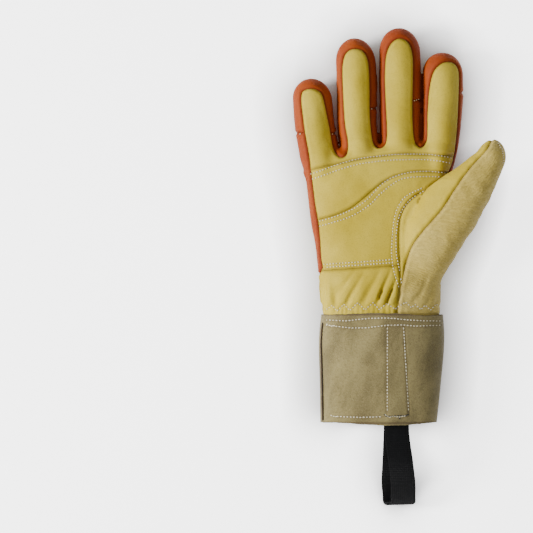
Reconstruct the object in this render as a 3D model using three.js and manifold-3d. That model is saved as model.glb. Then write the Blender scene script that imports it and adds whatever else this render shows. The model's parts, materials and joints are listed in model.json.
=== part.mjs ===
// Leather hunting glove for the right hand with a suede cuff, in millimetres.
// It lies on its back: +X is the thumb side, +Y runs to the fingertips, +Z comes out of the palm,
// and z = 0 is the surface that it rests on.
import * as THREE from "three";
import { ParametricGeometry } from "three/addons/geometries/ParametricGeometry.js";
import { mergeVertices } from "three/addons/utils/BufferGeometryUtils.js";
import Module from "manifold-3d";

const wasm = await Module();
wasm.setup();

// Driving dimensions
const WALL = 2.0; // leather and its lining
const GAP = 0.3; // between neighbouring pieces
const FLOOR = 0; // the back of the glove is flattened here
const FOLD_SEGMENTS = 3;
const HAND_SEGMENTS = 14 * FOLD_SEGMENTS; // round the palm
const HOLLOW_SEGMENTS = 20; // round its hollow, which is smooth
const FINGER_SEGMENTS = { skin: 12, hollow: 8 };
const THUMB_SEGMENTS = 12;
const THUMB_ROUNDNESS = 0.9; // 1 is an ellipse, less is squarer
const GATHER_DEPTH = 1.6;
const GATHER_SPREAD = 5.5; // how far a row of gathers fades along the glove
const WRIST_GATHER_Y = -49;
const BACK_GATHER_Y = -8;
const PALM_HOLLOW = { x: -6, y: 8, depth: 3.5, reach: 26 };
const TAPER_Y = -30; // the orange side strips come to a point here
// Where the palm side meets the back side: high at the wrist and lower beside the hand
const SEAM_Z = { hand: 16, wrist: 22, from: TAPER_Y - 4, to: TAPER_Y + 4 };
const CUFF = { wall: 2.2, floor: 2.5, top: -55.5, bottom: -137.6, segments: 32, overrun: 5 };
const CUFF_STRIP = { left: 1.1, right: 13, rightLow: 17.5, top: -65, bottom: -133, raise: 1.0 };
const LABEL = { x: -3.6, y: -120.2, tilt: -1.5 };
const LABEL_BAND = { length: 71, width: 22.4, low: 1.1, high: 2.2 };
const LABEL_PATCH = { length: 60, width: 14.8, low: 0, high: 0.8 };
const LOOP = { width: 19, thick: 1.7, x: 8.2, eyeFrom: 2, cleft: 0.4, steps: { outer: 18, eye: 14 } };
const FAR = 300; // past every side of the glove

// Palm sections: edges seen from above, and the heights of the underside, side seam and palm
const HAND_ROWS = [
  { y: -66, left: -45.4, right: 38.4, low: 5.4, side: 22, high: 41.0 },
  { y: -56, left: -45.8, right: 39.0, low: 5.2, side: 22, high: 41.2 },
  { y: -50, left: -46.6, right: 39.6, low: 4.2, side: 22, high: 42.2 },
  { y: -42, left: -47.9, right: 40.8, low: 2.0, side: 21.5, high: 42.0 },
  { y: -30, left: -49.4, right: 42.0, low: 0.0, side: 20.5, high: 41.0 },
  { y: -15, left: -50.9, right: 42.0, low: -1.5, side: 19, high: 39.5 },
  { y: 0, left: -53.6, right: 42.4, low: -2.0, side: 18, high: 38.0 },
  { y: 15, left: -56.6, right: 44.6, low: -2.5, side: 17, high: 37.0 },
  { y: 30, left: -58.5, right: 47.4, low: -3.0, side: 16, high: 36.5 },
  { y: 45, left: -60.4, right: 50.2, low: -3.0, side: 15.5, high: 35.0 },
  { y: 58, left: -62.4, right: 51.4, low: -3.0, side: 15, high: 32.5 },
];
// Where the palm is sampled: closer rows run through the gathers
const HAND_STATIONS = [-66, -55, -51.5, -48.5, -44.5, -38, -26, -15, -8, -1, 14, 32, 47, 58];
const HOLLOW_STATIONS = [-76, -50, -30, -8, 14, 36, 58];
// The palm ends in a rounded web between the fingers
const WEB = { from: 58, to: 73.5, slant: 0.1, slantFrom: 45, pull: 4, shares: [0.35, 0.65, 0.88] };
// How square a section is over the top and under, and how far its points bunch at the sides
const SECTION = { topPower: 2.2, underPower: 2.6, bunching: 0.3 };
const AXIS_X = -4; // the middle of the palm and the cuff

// Finger sections: centre and half width seen from above; the last row starts the round tip
const FINGERS = {
  index: {
    tip: { x: 43.2, y: 142.4 },
    rows: [
      { y: 36, x: 37.5, half: 8.5 },
      { y: 62, x: 40.2, half: 13.0 },
      { y: 78, x: 42.0, half: 14.2 },
      { y: 104, x: 43.6, half: 15.4 },
      { y: 125, x: 43.8, half: 15.2 },
    ],
  },
  middle: {
    tip: { x: 10.4, y: 160.7 },
    rows: [
      { y: 36, x: 11.4, half: 12 },
      { y: 66, x: 11.6, half: 14.8 },
      { y: 90, x: 11.1, half: 15.4 },
      { y: 118, x: 11.0, half: 15.5 },
      { y: 142, x: 10.8, half: 15.3 },
    ],
  },
  ring: {
    tip: { x: -23.6, y: 153.3 },
    rows: [
      { y: 36, x: -17.4, half: 12 },
      { y: 66, x: -18.9, half: 14.4 },
      { y: 88, x: -21.5, half: 15.0 },
      { y: 112, x: -22.0, half: 15.1 },
      { y: 134, x: -22.6, half: 15.0 },
    ],
  },
  little: {
    tip: { x: -56.2, y: 122.7 },
    rows: [
      { y: 32, x: -44.5, half: 8.5 },
      { y: 60, x: -49.0, half: 15.0 },
      { y: 80, x: -52.7, half: 15.1 },
      { y: 94, x: -54.4, half: 15.1 },
      { y: 106, x: -55.2, half: 14.9 },
    ],
  },
};
// Heights along every finger, by its share of the way to the tip: the fingertips curl up a little
const FINGER_HEIGHTS = [
  { share: 0, side: 15.5, up: 9.0, down: 13.0 },
  { share: 0.2, side: 15.0, up: 15.5, down: 17.5 },
  { share: 0.4, side: 14.5, up: 14.5, down: 17.0 },
  { share: 0.75, side: 15.5, up: 13.8, down: 15.5 },
  { share: 1, side: 18.5, up: 12.5, down: 13.0 },
];
const CAP_SHARES = [0.4, 0.72, 0.93]; // of the round end's length

// Thumb sections along its centre line: half width across, half thickness the other way
const THUMB_ROWS = [
  { x: 22.8, y: -26.6, z: 21, half: 20.0, thick: 14.5 },
  { x: 33.4, y: -3.8, z: 27, half: 24.0, thick: 16.5 },
  { x: 49.4, y: 23.6, z: 35, half: 23.4, thick: 16.5 },
  { x: 65.7, y: 42.9, z: 40, half: 17.7, thick: 14.5 },
  { x: 79.4, y: 59.7, z: 42, half: 12.2, thick: 11.5 },
];
const THUMB_TIP = { x: 87.2, y: 73.4, z: 43 };

const CUFF_ROWS = [
  { y: CUFF.bottom, left: -48.6, right: 38.8, low: -6, side: 22, high: 43.5 },
  { y: -111, left: -49.0, right: 41.4, low: -6, side: 22.5, high: 44.5 },
  { y: -68, left: -49.4, right: 44.1, low: -6, side: 22.5, high: 45.0 },
  { y: CUFF.top, left: -48.6, right: 42.8, low: -6, side: 22.5, high: 44.6 },
];

// Orange shows between these two outlines: each finger's palm and back panel, with the web below it
const PALM_FINGERS = [
  { left: -64.6, right: -45.4, leftLow: -60.0, rightLow: -40.5, tip: 114.8, web: 63.1 },
  { left: -33.4, right: -11.8, leftLow: -28.6, rightLow: -9.6, tip: 145.2, web: 70.4 },
  { left: -0.6, right: 21.7, leftLow: 0.8, rightLow: 22.0, tip: 153.5, web: 70.7 },
  { left: 32.6, right: 56.6, leftLow: 32.4, rightLow: 50.6, tip: 136.0, web: 0 },
];
const TIP_ROUND = { rise: 0.55, steps: 8 }; // rise as a share of the finger's width
const WEB_ROUND = { rise: 0.6, steps: 6 };
const EDGE_FOOT_Y = { left: 62, right: 66 }; // where the outline leaves the little and index fingers
const PALM_LEFT = [[-58.5, 50], [-51.6, 14.4], [-48.6, -18], [-52, TAPER_Y], [-80, TAPER_Y - 5]];
const PALM_RIGHT = [[47.5, 50], [43.5, 30], [40.0, 10], [38.5, -12], [43, TAPER_Y], [80, TAPER_Y - 5]];
const BACK_FINGERS = [
  { left: -68.0, right: -46.0, leftLow: -61.5, rightLow: -40.5, tip: 120.4, web: 64.6 },
  { left: -34.0, right: -13.0, leftLow: -29.5, rightLow: -10.5, tip: 151.0, web: 73.3 },
  { left: -1.5, right: 20.5, leftLow: 0.5, rightLow: 21.0, tip: 158.4, web: 73.9 },
  { left: 31.2, right: 54.6, leftLow: 31.8, rightLow: 49.6, tip: 140.0, web: 0 },
];
const BACK_LEFT = [[-58.5, 50], [-55.0, 14], [-52.2, -10], [-52, TAPER_Y], [-80, TAPER_Y - 5]];
const BACK_RIGHT = [[44.5, 40], [40.0, 14], [37.5, 0], [38.0, -18], [43, TAPER_Y], [80, TAPER_Y - 5]];

// Seams across the palm, from the little finger's side to the thumb
const UPPER_SEAM = [[-80, 45], [-57, 53.0], [-20, 61.4], [15.2, 65.8], [50.9, 63.6], [90, 61]];
const CURVED_SEAM = [
  [-80, 7.5], [-50.9, 15.4], [-26.6, 23.8], [-1.5, 43.8], [15.2, 50.7], [27.4, 52.4], [46.4, 51], [90, 48],
];
const LOWER_SEAM = [[-80, -24.8], [-47.9, -23.0], [4.9, -19.4], [90, -14]];
// The seam round the thumb's base, and the ridge between its two front panels
const BASE_SEAM = [
  [62, 52], [30, 37.8], [20.5, 31.2], [15.3, 25.4], [11.4, 16.8], [10.4, 5.4], [10.4, -4.2],
  [10.8, -13.7], [11.2, -27.1], [10.2, -38.5], [8.8, -50], [8.4, -80],
];
const RIDGE_SEAM = [
  [90, 88], [80.1, 75.5], [75.8, 68.3], [62.9, 54], [52.4, 38.8], [42, 22.6], [27.7, 6.3],
  [19.1, -6.1], [15.3, -18.5], [12.9, -29.9], [11, -38.8], [9.4, -50], [9.0, -80],
];
// The thumb's orange back panel, and how high its edge runs along X
const THUMB_BACK = [[110, 44], [69.3, 19], [47.8, -1], [30, -14], [24, 30], [60, 100], [110, 100]];
const THUMB_BACK_EDGE = [[0, 16], [33.4, 24.5], [49.4, 32.5], [65.7, 37.5], [79.4, 39.5], [110, 41]];

// The insert over the knuckles, seen through a lens-shaped window in the back
const LENS = { left: -49.4, right: 40.3, low: 25.8, high: 35, crown: 50.5, keel: 21.7, steps: 8 };

// The orange band is sewn from six strips, split by seams across it between these outlines
const STRIP_ZONES = {
  radial_side_strip: [[80, 111.85], [43, 111.85], [43, 60], [20, 20], [20, -45], [80, -45]],
  fourchette_index_middle: [
    [80, 112.15], [80, 180], [27.4, 180], [27.2, 106.25], [11, 106.25], [11, 50], [42.8, 50],
    [42.8, 112.15],
  ],
  fourchette_middle_ring: [
    [27.1, 106.55], [27.1, 180], [-5.5, 180], [-5.5, 100.15], [-20, 100.15], [-20, 50], [10.8, 50],
    [10.8, 106.55],
  ],
  fourchette_ring_little: [
    [-5.7, 100.45], [-5.7, 180], [-39, 180], [-37.7, 92], [-36.5, 81.15], [-52, 81.15], [-52, 45],
    [-20.2, 45], [-20.2, 100.45],
  ],
  little_tip_band: [[-36.8, 81.45], [-37.9, 92], [-39.2, 180], [-90, 180], [-90, 81.45]],
  ulnar_side_strip: [[-90, 81.15], [-52.2, 81.15], [-52.2, 44.8], [-30, 44.8], [-30, -45], [-90, -45]],
};

const LEATHER = {
  yellow: { color: 0xd9c27a, roughness: 0.6 },
  orange: { color: 0xd9693a, roughness: 0.55 },
  suede: { color: 0x9a9068, roughness: 0.95 },
  webbing: { color: 0x1b1b1d, roughness: 0.85 },
  patch: { color: 0xe0583a, roughness: 0.7 },
};

// A closed geometry as a solid for cutting and joining
function solid(geometry) {
  const open = geometry.index ? geometry.toNonIndexed() : geometry.clone();
  const bare = new THREE.BufferGeometry().setAttribute("position", open.getAttribute("position"));
  const merged = mergeVertices(bare, 1e-4);
  const corners = merged.index.array;
  const build = (flip) => {
    const triVerts = [];
    for (let i = 0; i < corners.length; i += 3) {
      const [a, b, c] = [corners[i], corners[i + 1], corners[i + 2]];
      const isFace = a !== b && b !== c && c !== a; // a pole leaves faces with two like corners
      if (isFace) triVerts.push(a, flip ? c : b, flip ? b : c);
    }
    return new wasm.Manifold(
      new wasm.Mesh({
        numProp: 3,
        vertProperties: merged.attributes.position.array,
        triVerts: new Uint32Array(triVerts),
      }),
    );
  };
  const made = build(false);
  return made.volume() < 0 ? build(true) : made;
}

// The biggest body of a solid, without the slivers that a cut can leave
function mainBody(cut) {
  const bodies = cut.decompose();
  return bodies.reduce((best, body) => (body.volume() > best.volume() ? body : best));
}

const mix = THREE.MathUtils.lerp;

// The named columns of a table, between the two rows around a value of its key column
function rowAt(table, key, value) {
  const last = table.length - 1;
  let i = 0;
  while (i < last - 1 && table[i + 1][key] < value) i += 1;
  const [a, b] = [table[i], table[i + 1]];
  const share = THREE.MathUtils.clamp((value - a[key]) / (b[key] - a[key]), 0, 1);
  return Object.fromEntries(Object.keys(a).map((name) => [name, mix(a[name], b[name], share)]));
}

// A closed skin through rings; ring(i, u) gives its point at the turn u, and both ends close on a point
function loft(ringCount, segments, ring, startPole, endPole) {
  const at = (u, v, target) => {
    const i = Math.round(v * (ringCount + 1));
    if (i === 0) target.copy(startPole);
    else if (i === ringCount + 1) target.copy(endPole);
    else target.copy(ring(i - 1, u >= 1 ? 0 : u));
  };
  return solid(new ParametricGeometry(at, segments, ringCount + 1));
}

// One point of a section: u from 0 to 1 goes round it, first over the top and then under
function sectionPoint(u, section, floor, inset) {
  const onTop = u < 0.5;
  const across = onTop ? 1 - 4 * u : 4 * u - 3;
  const spread = mix(across, Math.sin((Math.PI / 2) * across), SECTION.bunching);
  const power = onTop ? SECTION.topPower : SECTION.underPower;
  const rise = Math.pow(Math.max(0, 1 - Math.pow(Math.abs(spread), power)), 1 / power);
  const half = (section.right - section.left) / 2 - inset;
  const x = (section.right + section.left) / 2 + half * spread;
  const up = section.high - section.side - inset;
  const down = section.side - section.low - inset;
  const z = onTop ? section.side + up * rise : section.side - down * rise;
  return new THREE.Vector3(x, section.y, Math.max(z, floor + inset));
}

const bell = (value, centre, reach) => Math.exp(-0.5 * ((value - centre) / reach) ** 2);

// The palm and wrist, without the fingers; an inset makes the hollow, which runs out at the wrist
function handHull(inset) {
  const isHollow = inset > 0;
  const segments = isHollow ? HOLLOW_SEGMENTS : HAND_SEGMENTS;
  const stations = (isHollow ? HOLLOW_STATIONS : HAND_STATIONS).map((y) => ({
    ...rowAt(HAND_ROWS, "y", y),
    y,
  }));
  for (const share of WEB.shares) {
    const row = rowAt(HAND_ROWS, "y", WEB.from);
    const shrink = Math.sqrt(1 - share ** 2);
    row.y = mix(WEB.from, WEB.to - inset, share);
    row.left += WEB.pull * share;
    row.right -= WEB.pull * share;
    row.high = mix(row.side, row.high, shrink);
    row.low = mix(row.side, row.low, shrink);
    stations.push(row);
  }
  const ring = (i, u) => {
    const row = stations[i];
    const p = sectionPoint(u, row, FLOOR, inset);
    const onTop = u < 0.5;
    const fold = 0.5 + 0.5 * Math.cos((2 * Math.PI * u * HAND_SEGMENTS) / FOLD_SEGMENTS);
    const clear = THREE.MathUtils.smoothstep(row.y, CUFF.top, WRIST_GATHER_Y);
    const wrist = bell(row.y, WRIST_GATHER_Y, GATHER_SPREAD) * clear;
    const gathers = onTop ? wrist : wrist + bell(row.y, BACK_GATHER_Y, GATHER_SPREAD);
    const depth = isHollow ? 0 : GATHER_DEPTH * fold * gathers;
    p.z = onTop ? p.z + depth : Math.max(p.z - depth, FLOOR + inset);
    const { x, y, depth: hollow, reach } = PALM_HOLLOW;
    if (onTop) p.z -= hollow * bell(p.x, x, reach) * bell(p.y, y, reach);
    p.y += WEB.slant * p.x * THREE.MathUtils.smoothstep(row.y, WEB.slantFrom, WEB.from);
    return p;
  };
  const first = stations[0];
  const start = new THREE.Vector3(0, first.y, first.side);
  const end = new THREE.Vector3(AXIS_X, WEB.to - inset, rowAt(HAND_ROWS, "y", WEB.from).side);
  return loft(stations.length, segments, ring, start, end);
}

// One finger with its round tip
function fingerHull(finger, inset) {
  const { rows, tip } = finger;
  const first = rows[0];
  const capStart = rows[rows.length - 1];
  const tipY = tip.y - inset;
  const stations = rows.map((row) => ({ ...row, scale: 1 }));
  for (const share of CAP_SHARES) {
    const y = mix(capStart.y, tipY, share);
    const x = mix(capStart.x, tip.x, share);
    stations.push({ y, x, half: capStart.half, scale: Math.sqrt(1 - share ** 2) });
  }
  const sections = stations.map(({ y, x, half, scale }) => {
    const heights = rowAt(FINGER_HEIGHTS, "share", (y - first.y) / (tip.y - first.y));
    const inner = Math.max(half - inset, 1) * scale;
    const up = (heights.up - inset) * scale;
    const down = (heights.down - inset) * scale;
    const side = heights.side;
    return { y, left: x - inner, right: x + inner, low: side - down, side, high: side + up };
  });
  const ring = (i, u) => {
    const p = sectionPoint(u, sections[i], FLOOR, 0);
    p.z = Math.max(p.z, FLOOR + inset);
    return p;
  };
  const lastSide = rowAt(FINGER_HEIGHTS, "share", 1).side;
  const start = new THREE.Vector3(first.x, first.y, sections[0].side);
  const end = new THREE.Vector3(tip.x, tipY, lastSide);
  const segments = inset > 0 ? FINGER_SEGMENTS.hollow : FINGER_SEGMENTS.skin;
  return loft(sections.length, segments, ring, start, end);
}

// The thumb, whose sections stand square to its centre line
function thumbHull(inset) {
  const line = new THREE.CatmullRomCurve3(THUMB_ROWS.map((r) => new THREE.Vector3(r.x, r.y, r.z)));
  const count = THUMB_ROWS.length - 1;
  const stations = [];
  const steps = count * 2;
  for (let i = 0; i <= steps; i += 1) {
    const t = i / steps;
    const k = Math.min(Math.floor(t * count), count - 1);
    const share = t * count - k;
    stations.push({
      centre: line.getPoint(t),
      along: line.getTangent(t),
      half: mix(THUMB_ROWS[k].half, THUMB_ROWS[k + 1].half, share) - inset,
      thick: mix(THUMB_ROWS[k].thick, THUMB_ROWS[k + 1].thick, share) - inset,
    });
  }
  const capStart = stations[stations.length - 1];
  const tip = new THREE.Vector3(THUMB_TIP.x, THUMB_TIP.y, THUMB_TIP.z);
  tip.addScaledVector(capStart.along, -inset);
  for (const share of CAP_SHARES) {
    const scale = Math.sqrt(1 - share ** 2);
    const centre = new THREE.Vector3().lerpVectors(capStart.centre, tip, share);
    const { along, half, thick } = capStart;
    stations.push({ centre, along, half: half * scale, thick: thick * scale });
  }
  const upward = new THREE.Vector3(0, 0, 1);
  const ring = (i, u) => {
    const { centre, along, half, thick } = stations[i];
    const across = new THREE.Vector3().crossVectors(along, upward).normalize();
    const outward = new THREE.Vector3().crossVectors(across, along).normalize();
    const turn = 2 * Math.PI * u;
    const round = (value) => Math.sign(value) * Math.pow(Math.abs(value), THUMB_ROUNDNESS);
    return centre
      .clone()
      .addScaledVector(across, half * round(Math.cos(turn)))
      .addScaledVector(outward, thick * round(Math.sin(turn)));
  };
  return loft(stations.length, THUMB_SEGMENTS, ring, stations[0].centre, tip);
}

// A tube of suede; an inset makes its hollow, which runs out at both ends
function cuffHull(inset) {
  const stations = CUFF_ROWS.map((row) => ({ ...row }));
  if (inset > 0) {
    stations[0].y -= CUFF.overrun;
    stations[stations.length - 1].y += CUFF.overrun;
  }
  const ring = (i, u) => sectionPoint(u, stations[i], CUFF.floor, inset);
  const pole = (row) => new THREE.Vector3(AXIS_X, row.y, row.side);
  const last = stations[stations.length - 1];
  return loft(stations.length, CUFF.segments, ring, pole(stations[0]), pole(last));
}

const toVectors = (points) => points.map(([x, y]) => new THREE.Vector2(x, y));

// An outline moved outwards by a distance; a negative distance moves it inwards
function grown(points, distance) {
  const turnsLeft = THREE.ShapeUtils.area(points) > 0 ? 1 : -1;
  return points.map((point, i) => {
    const before = points[(i + points.length - 1) % points.length];
    const after = points[(i + 1) % points.length];
    const along = after.clone().sub(before).normalize();
    return new THREE.Vector2(along.y, -along.x).multiplyScalar(distance * turnsLeft).add(point);
  });
}

// A column over an outline in plan
function column(points, low = -FAR, high = FAR) {
  const shape = new THREE.Shape(points);
  const geometry = new THREE.ExtrudeGeometry(shape, { depth: high - low, bevelEnabled: false });
  return solid(geometry.translate(0, 0, low));
}

// Everything above or below a side line drawn over Y or over X
function sideOf(line, axis, isAbove, lift) {
  const edge = isAbove ? FAR : -FAR;
  const points = line.map(([along, z]) => new THREE.Vector2(along, z + lift));
  points.unshift(new THREE.Vector2(line[0][0], edge));
  points.push(new THREE.Vector2(line[line.length - 1][0], edge));
  const shape = new THREE.Shape(points);
  const geometry = new THREE.ExtrudeGeometry(shape, { depth: 2 * FAR, bevelEnabled: false });
  geometry.translate(0, 0, -FAR);
  geometry.rotateX(Math.PI / 2);
  if (axis === "y") geometry.rotateZ(Math.PI / 2);
  return solid(geometry);
}

// The outline of the palm or back panel: up each finger, round its tip and through each web
function handOutline(fingers, leftEdge, rightEdge) {
  const points = toVectors([[-80, -FAR], ...[...leftEdge].reverse()]);
  const addArc = (left, right, y, rise, steps) => {
    const centre = (left + right) / 2;
    const half = (right - left) / 2;
    for (let k = 0; k <= steps; k += 1) {
      const turn = Math.PI * (1 - k / steps);
      points.push(new THREE.Vector2(centre + half * Math.cos(turn), y + rise * Math.sin(turn)));
    }
  };
  fingers.forEach((finger, i) => {
    const { left, right, leftLow, rightLow, tip, web } = finger;
    if (i === 0) points.push(new THREE.Vector2(leftLow, EDGE_FOOT_Y.left));
    const rise = (right - left) * TIP_ROUND.rise;
    addArc(left, right, tip - rise, rise, TIP_ROUND.steps);
    const next = fingers[i + 1];
    if (!next) {
      points.push(new THREE.Vector2(rightLow, EDGE_FOOT_Y.right));
      return;
    }
    const depth = (next.leftLow - rightLow) * WEB_ROUND.rise;
    addArc(rightLow, next.leftLow, web + depth, -depth, WEB_ROUND.steps);
  });
  points.push(...toVectors(rightEdge), new THREE.Vector2(80, -FAR));
  return points;
}

// The outline of the knuckle insert's window: two shallow arcs with short straight ends
function lensOutline() {
  const { left, right, low, high, crown, keel, steps } = LENS;
  const points = [];
  for (let k = 0; k <= steps; k += 1) {
    const share = k / steps;
    const x = mix(left, right, share);
    points.push(new THREE.Vector2(x, low + (keel - low) * Math.sin(Math.PI * share)));
  }
  for (let k = 0; k <= steps; k += 1) {
    const share = k / steps;
    const x = mix(right, left, share);
    points.push(new THREE.Vector2(x, high + (crown - high) * Math.sin(Math.PI * share)));
  }
  return points;
}

// Everything on the fingertips' side of a seam across the palm
function beyond(seam, offset) {
  const curve = new THREE.SplineCurve(toVectors(seam));
  const points = curve.getPoints(seam.length * 2);
  points.forEach((p) => (p.y += offset));
  points.push(new THREE.Vector2(FAR, FAR), new THREE.Vector2(-FAR, FAR));
  return column(points);
}

// Everything on the thumb's side of a seam that runs down to the wrist
function thumbSide(seam, offset) {
  const curve = new THREE.SplineCurve(toVectors(seam));
  const points = curve.getPoints(seam.length * 2);
  const wristEnd = seam[seam.length - 1][1];
  points.push(new THREE.Vector2(FAR, wristEnd), new THREE.Vector2(FAR, seam[0][1]));
  return column(grown(points, -offset));
}

const seamLine = [
  [-FAR, SEAM_Z.wrist], [SEAM_Z.from, SEAM_Z.wrist], [SEAM_Z.to, SEAM_Z.hand], [FAR, SEAM_Z.hand],
];
const palmOutline = handOutline(PALM_FINGERS, PALM_LEFT, PALM_RIGHT);
const backOutline = handOutline(BACK_FINGERS, BACK_LEFT, BACK_RIGHT);

function palmZone(grow) {
  return column(grown(palmOutline, grow)).intersect(sideOf(seamLine, "y", true, -grow));
}

function backZone(grow) {
  return column(grown(backOutline, grow)).intersect(sideOf(seamLine, "y", false, grow));
}

const hulls = (inset) =>
  Object.values(FINGERS).reduce(
    (sum, finger) => sum.add(fingerHull(finger, inset)),
    handHull(inset),
  );

const hollow = hulls(WALL).add(thumbHull(WALL));
const handSkin = hulls(0).subtract(hollow);
const thumbSkin = thumbHull(0).subtract(hollow);
const handOnly = handSkin.subtract(thumbHull(-GAP));

const half = GAP / 2;
const palmSide = handOnly.intersect(palmZone(-half)).subtract(thumbSide(BASE_SEAM, -half));
const lens = lensOutline();
const backSide = handOnly.intersect(backZone(-half));
const orangeBand = handOnly.subtract(palmZone(half)).subtract(backZone(half));

// The thumb's panels take in the ball of the thumb, beside the seam round its base
const thumbBall = handSkin.intersect(palmZone(-half)).intersect(thumbSide(BASE_SEAM, half));
const thumbAll = thumbSkin.add(thumbBall);
const thumbBackZone = (grow) =>
  column(grown(toVectors(THUMB_BACK), grow)).intersect(sideOf(THUMB_BACK_EDGE, "x", false, grow));
const thumbFront = thumbAll.subtract(thumbBackZone(half));

const pieces = {
  finger_palm_panel: ["yellow", palmSide.intersect(beyond(UPPER_SEAM, half))],
  upper_palm_panel: [
    "yellow",
    palmSide.subtract(beyond(UPPER_SEAM, -half)).intersect(beyond(CURVED_SEAM, half)),
  ],
  palm_patch: [
    "yellow",
    palmSide.subtract(beyond(CURVED_SEAM, -half)).intersect(beyond(LOWER_SEAM, half)),
  ],
  palm_heel_panel: ["yellow", palmSide.subtract(beyond(LOWER_SEAM, -half))],
  back_panel: ["yellow", backSide.subtract(column(grown(lens, half)))],
  knuckle_insert: ["yellow", backSide.intersect(column(grown(lens, -half)))],
  thumb_inner_panel: ["yellow", thumbFront.subtract(thumbSide(RIDGE_SEAM, -half))],
  thumb_outer_panel: ["yellow", thumbFront.intersect(thumbSide(RIDGE_SEAM, half))],
  thumb_back_panel: ["orange", thumbAll.intersect(thumbBackZone(-half))],
};
for (const [name, outline] of Object.entries(STRIP_ZONES))
  pieces[name] = ["orange", orangeBand.intersect(column(toVectors(outline)))];

// The cuff, with the raised strip where its two ends lap
function cuffBody() {
  const { left, right, rightLow, top, bottom, raise } = CUFF_STRIP;
  const outline = toVectors([[left, bottom], [rightLow, bottom], [right, top], [left, top]]);
  const strip = cuffHull(-raise).intersect(column(outline, SEAM_Z.wrist, FAR));
  return cuffHull(0).add(strip).subtract(cuffHull(CUFF.wall));
}
pieces.cuff = ["suede", cuffBody()];

// The two layers of the label under the cuff
function labelLayer({ length, width, low, high }) {
  const geometry = new THREE.BoxGeometry(length, width, high - low);
  geometry.rotateZ(THREE.MathUtils.degToRad(LABEL.tilt));
  return solid(geometry.translate(LABEL.x, LABEL.y, (low + high) / 2));
}
pieces.label_band = ["webbing", labelLayer(LABEL_BAND)];
pieces.label_patch = ["patch", labelLayer(LABEL_PATCH)];

// The pull loop's side view, over Y and Z: a strap that is sewn in flat, opens and folds back
const LOOP_LINE = [
  { y: -118, z: 36.0, open: 0 },
  { y: -137, z: 35.4, open: 0 },
  { y: -150, z: 32.5, open: 1.5 },
  { y: -168, z: 26.5, open: 3.4 },
  { y: -184, z: 16.5, open: 4.6 },
  { y: -194, z: 11.0, open: 4.4 },
  { y: -199.5, z: 8.6, open: 2.4 },
];
function pullLoop() {
  const { width, thick, x, eyeFrom, cleft, steps } = LOOP;
  const edge = (side) =>
    new THREE.SplineCurve(
      LOOP_LINE.map(({ y, z, open }) => new THREE.Vector2(y, z + side * (open + thick))),
    ).getPoints(steps.outer);
  const outer = [...edge(1), ...edge(-1).reverse()];
  const eye = (side) =>
    new THREE.SplineCurve(
      LOOP_LINE.slice(eyeFrom).map(({ y, z, open }, i, rows) => {
        const isFold = i === rows.length - 1;
        const isEnd = i === 0 || isFold;
        return new THREE.Vector2(y + (isFold ? thick : 0), z + side * (isEnd ? cleft : open));
      }),
    ).getPoints(steps.eye);
  const shape = new THREE.Shape(outer);
  shape.holes.push(new THREE.Path([...eye(1), ...eye(-1).reverse()]));
  const geometry = new THREE.ExtrudeGeometry(shape, { depth: width, bevelEnabled: false });
  // the drawing's right and up become +Y and +Z, and its depth runs along X
  geometry.rotateX(Math.PI / 2);
  geometry.rotateZ(Math.PI / 2);
  return solid(geometry.translate(x - width / 2, 0, 0));
}
pieces.pull_loop = ["webbing", pullLoop()];

const glove = new THREE.Group();
glove.name = "hunting_glove";
for (const [name, [finish, cut]] of Object.entries(pieces)) {
  const { vertProperties, triVerts } = mainBody(cut).getMesh();
  const geometry = new THREE.BufferGeometry();
  geometry.setAttribute("position", new THREE.BufferAttribute(new Float32Array(vertProperties), 3));
  geometry.setIndex(new THREE.BufferAttribute(new Uint32Array(triVerts), 1));
  geometry.computeVertexNormals();
  const { color, roughness } = LEATHER[finish];
  const material = new THREE.MeshStandardMaterial({ color, roughness, metalness: 0 });
  const mesh = new THREE.Mesh(geometry, material);
  mesh.name = name;
  glove.add(mesh);
}

export default glove;
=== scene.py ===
"""Looks of a right-hand leather hunting glove that lies on its back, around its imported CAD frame."""
import bisect
import json
import math

import bmesh
import bpy
import numpy as np
from mathutils import Matrix, Vector, noise
from mathutils.bvhtree import BVHTree
from mathutils.kdtree import KDTree

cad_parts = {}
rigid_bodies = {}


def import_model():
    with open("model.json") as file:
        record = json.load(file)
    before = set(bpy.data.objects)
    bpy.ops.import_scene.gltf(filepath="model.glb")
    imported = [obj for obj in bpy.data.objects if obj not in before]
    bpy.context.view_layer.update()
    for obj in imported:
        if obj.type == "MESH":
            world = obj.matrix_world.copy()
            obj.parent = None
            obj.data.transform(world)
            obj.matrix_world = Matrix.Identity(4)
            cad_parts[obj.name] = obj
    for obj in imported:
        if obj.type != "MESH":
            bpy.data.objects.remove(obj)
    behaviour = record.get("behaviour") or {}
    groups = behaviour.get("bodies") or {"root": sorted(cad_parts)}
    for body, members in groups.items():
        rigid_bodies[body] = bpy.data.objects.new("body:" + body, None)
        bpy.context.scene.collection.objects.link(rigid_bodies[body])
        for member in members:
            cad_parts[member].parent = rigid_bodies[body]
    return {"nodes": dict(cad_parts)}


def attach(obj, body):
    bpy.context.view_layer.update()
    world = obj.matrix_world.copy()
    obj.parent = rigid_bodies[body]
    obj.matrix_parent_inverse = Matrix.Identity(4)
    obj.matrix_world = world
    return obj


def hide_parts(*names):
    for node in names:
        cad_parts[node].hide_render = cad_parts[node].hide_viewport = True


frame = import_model()

bl_info = {
    "name": "Leather Glove",
    "version": (1, 0, 0),
    "blender": (4, 5, 0),
    "location": "3D View > Sidebar > Glove",
    "description": "Builds the leather panels, cuff, webbing and stitches of a hunting glove",
    "category": "Add Mesh",
}

MM = 0.001
FAR = 300.0
WHITE = (1, 1, 1, 1)
BLACK = (0, 0, 0, 1)
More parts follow.
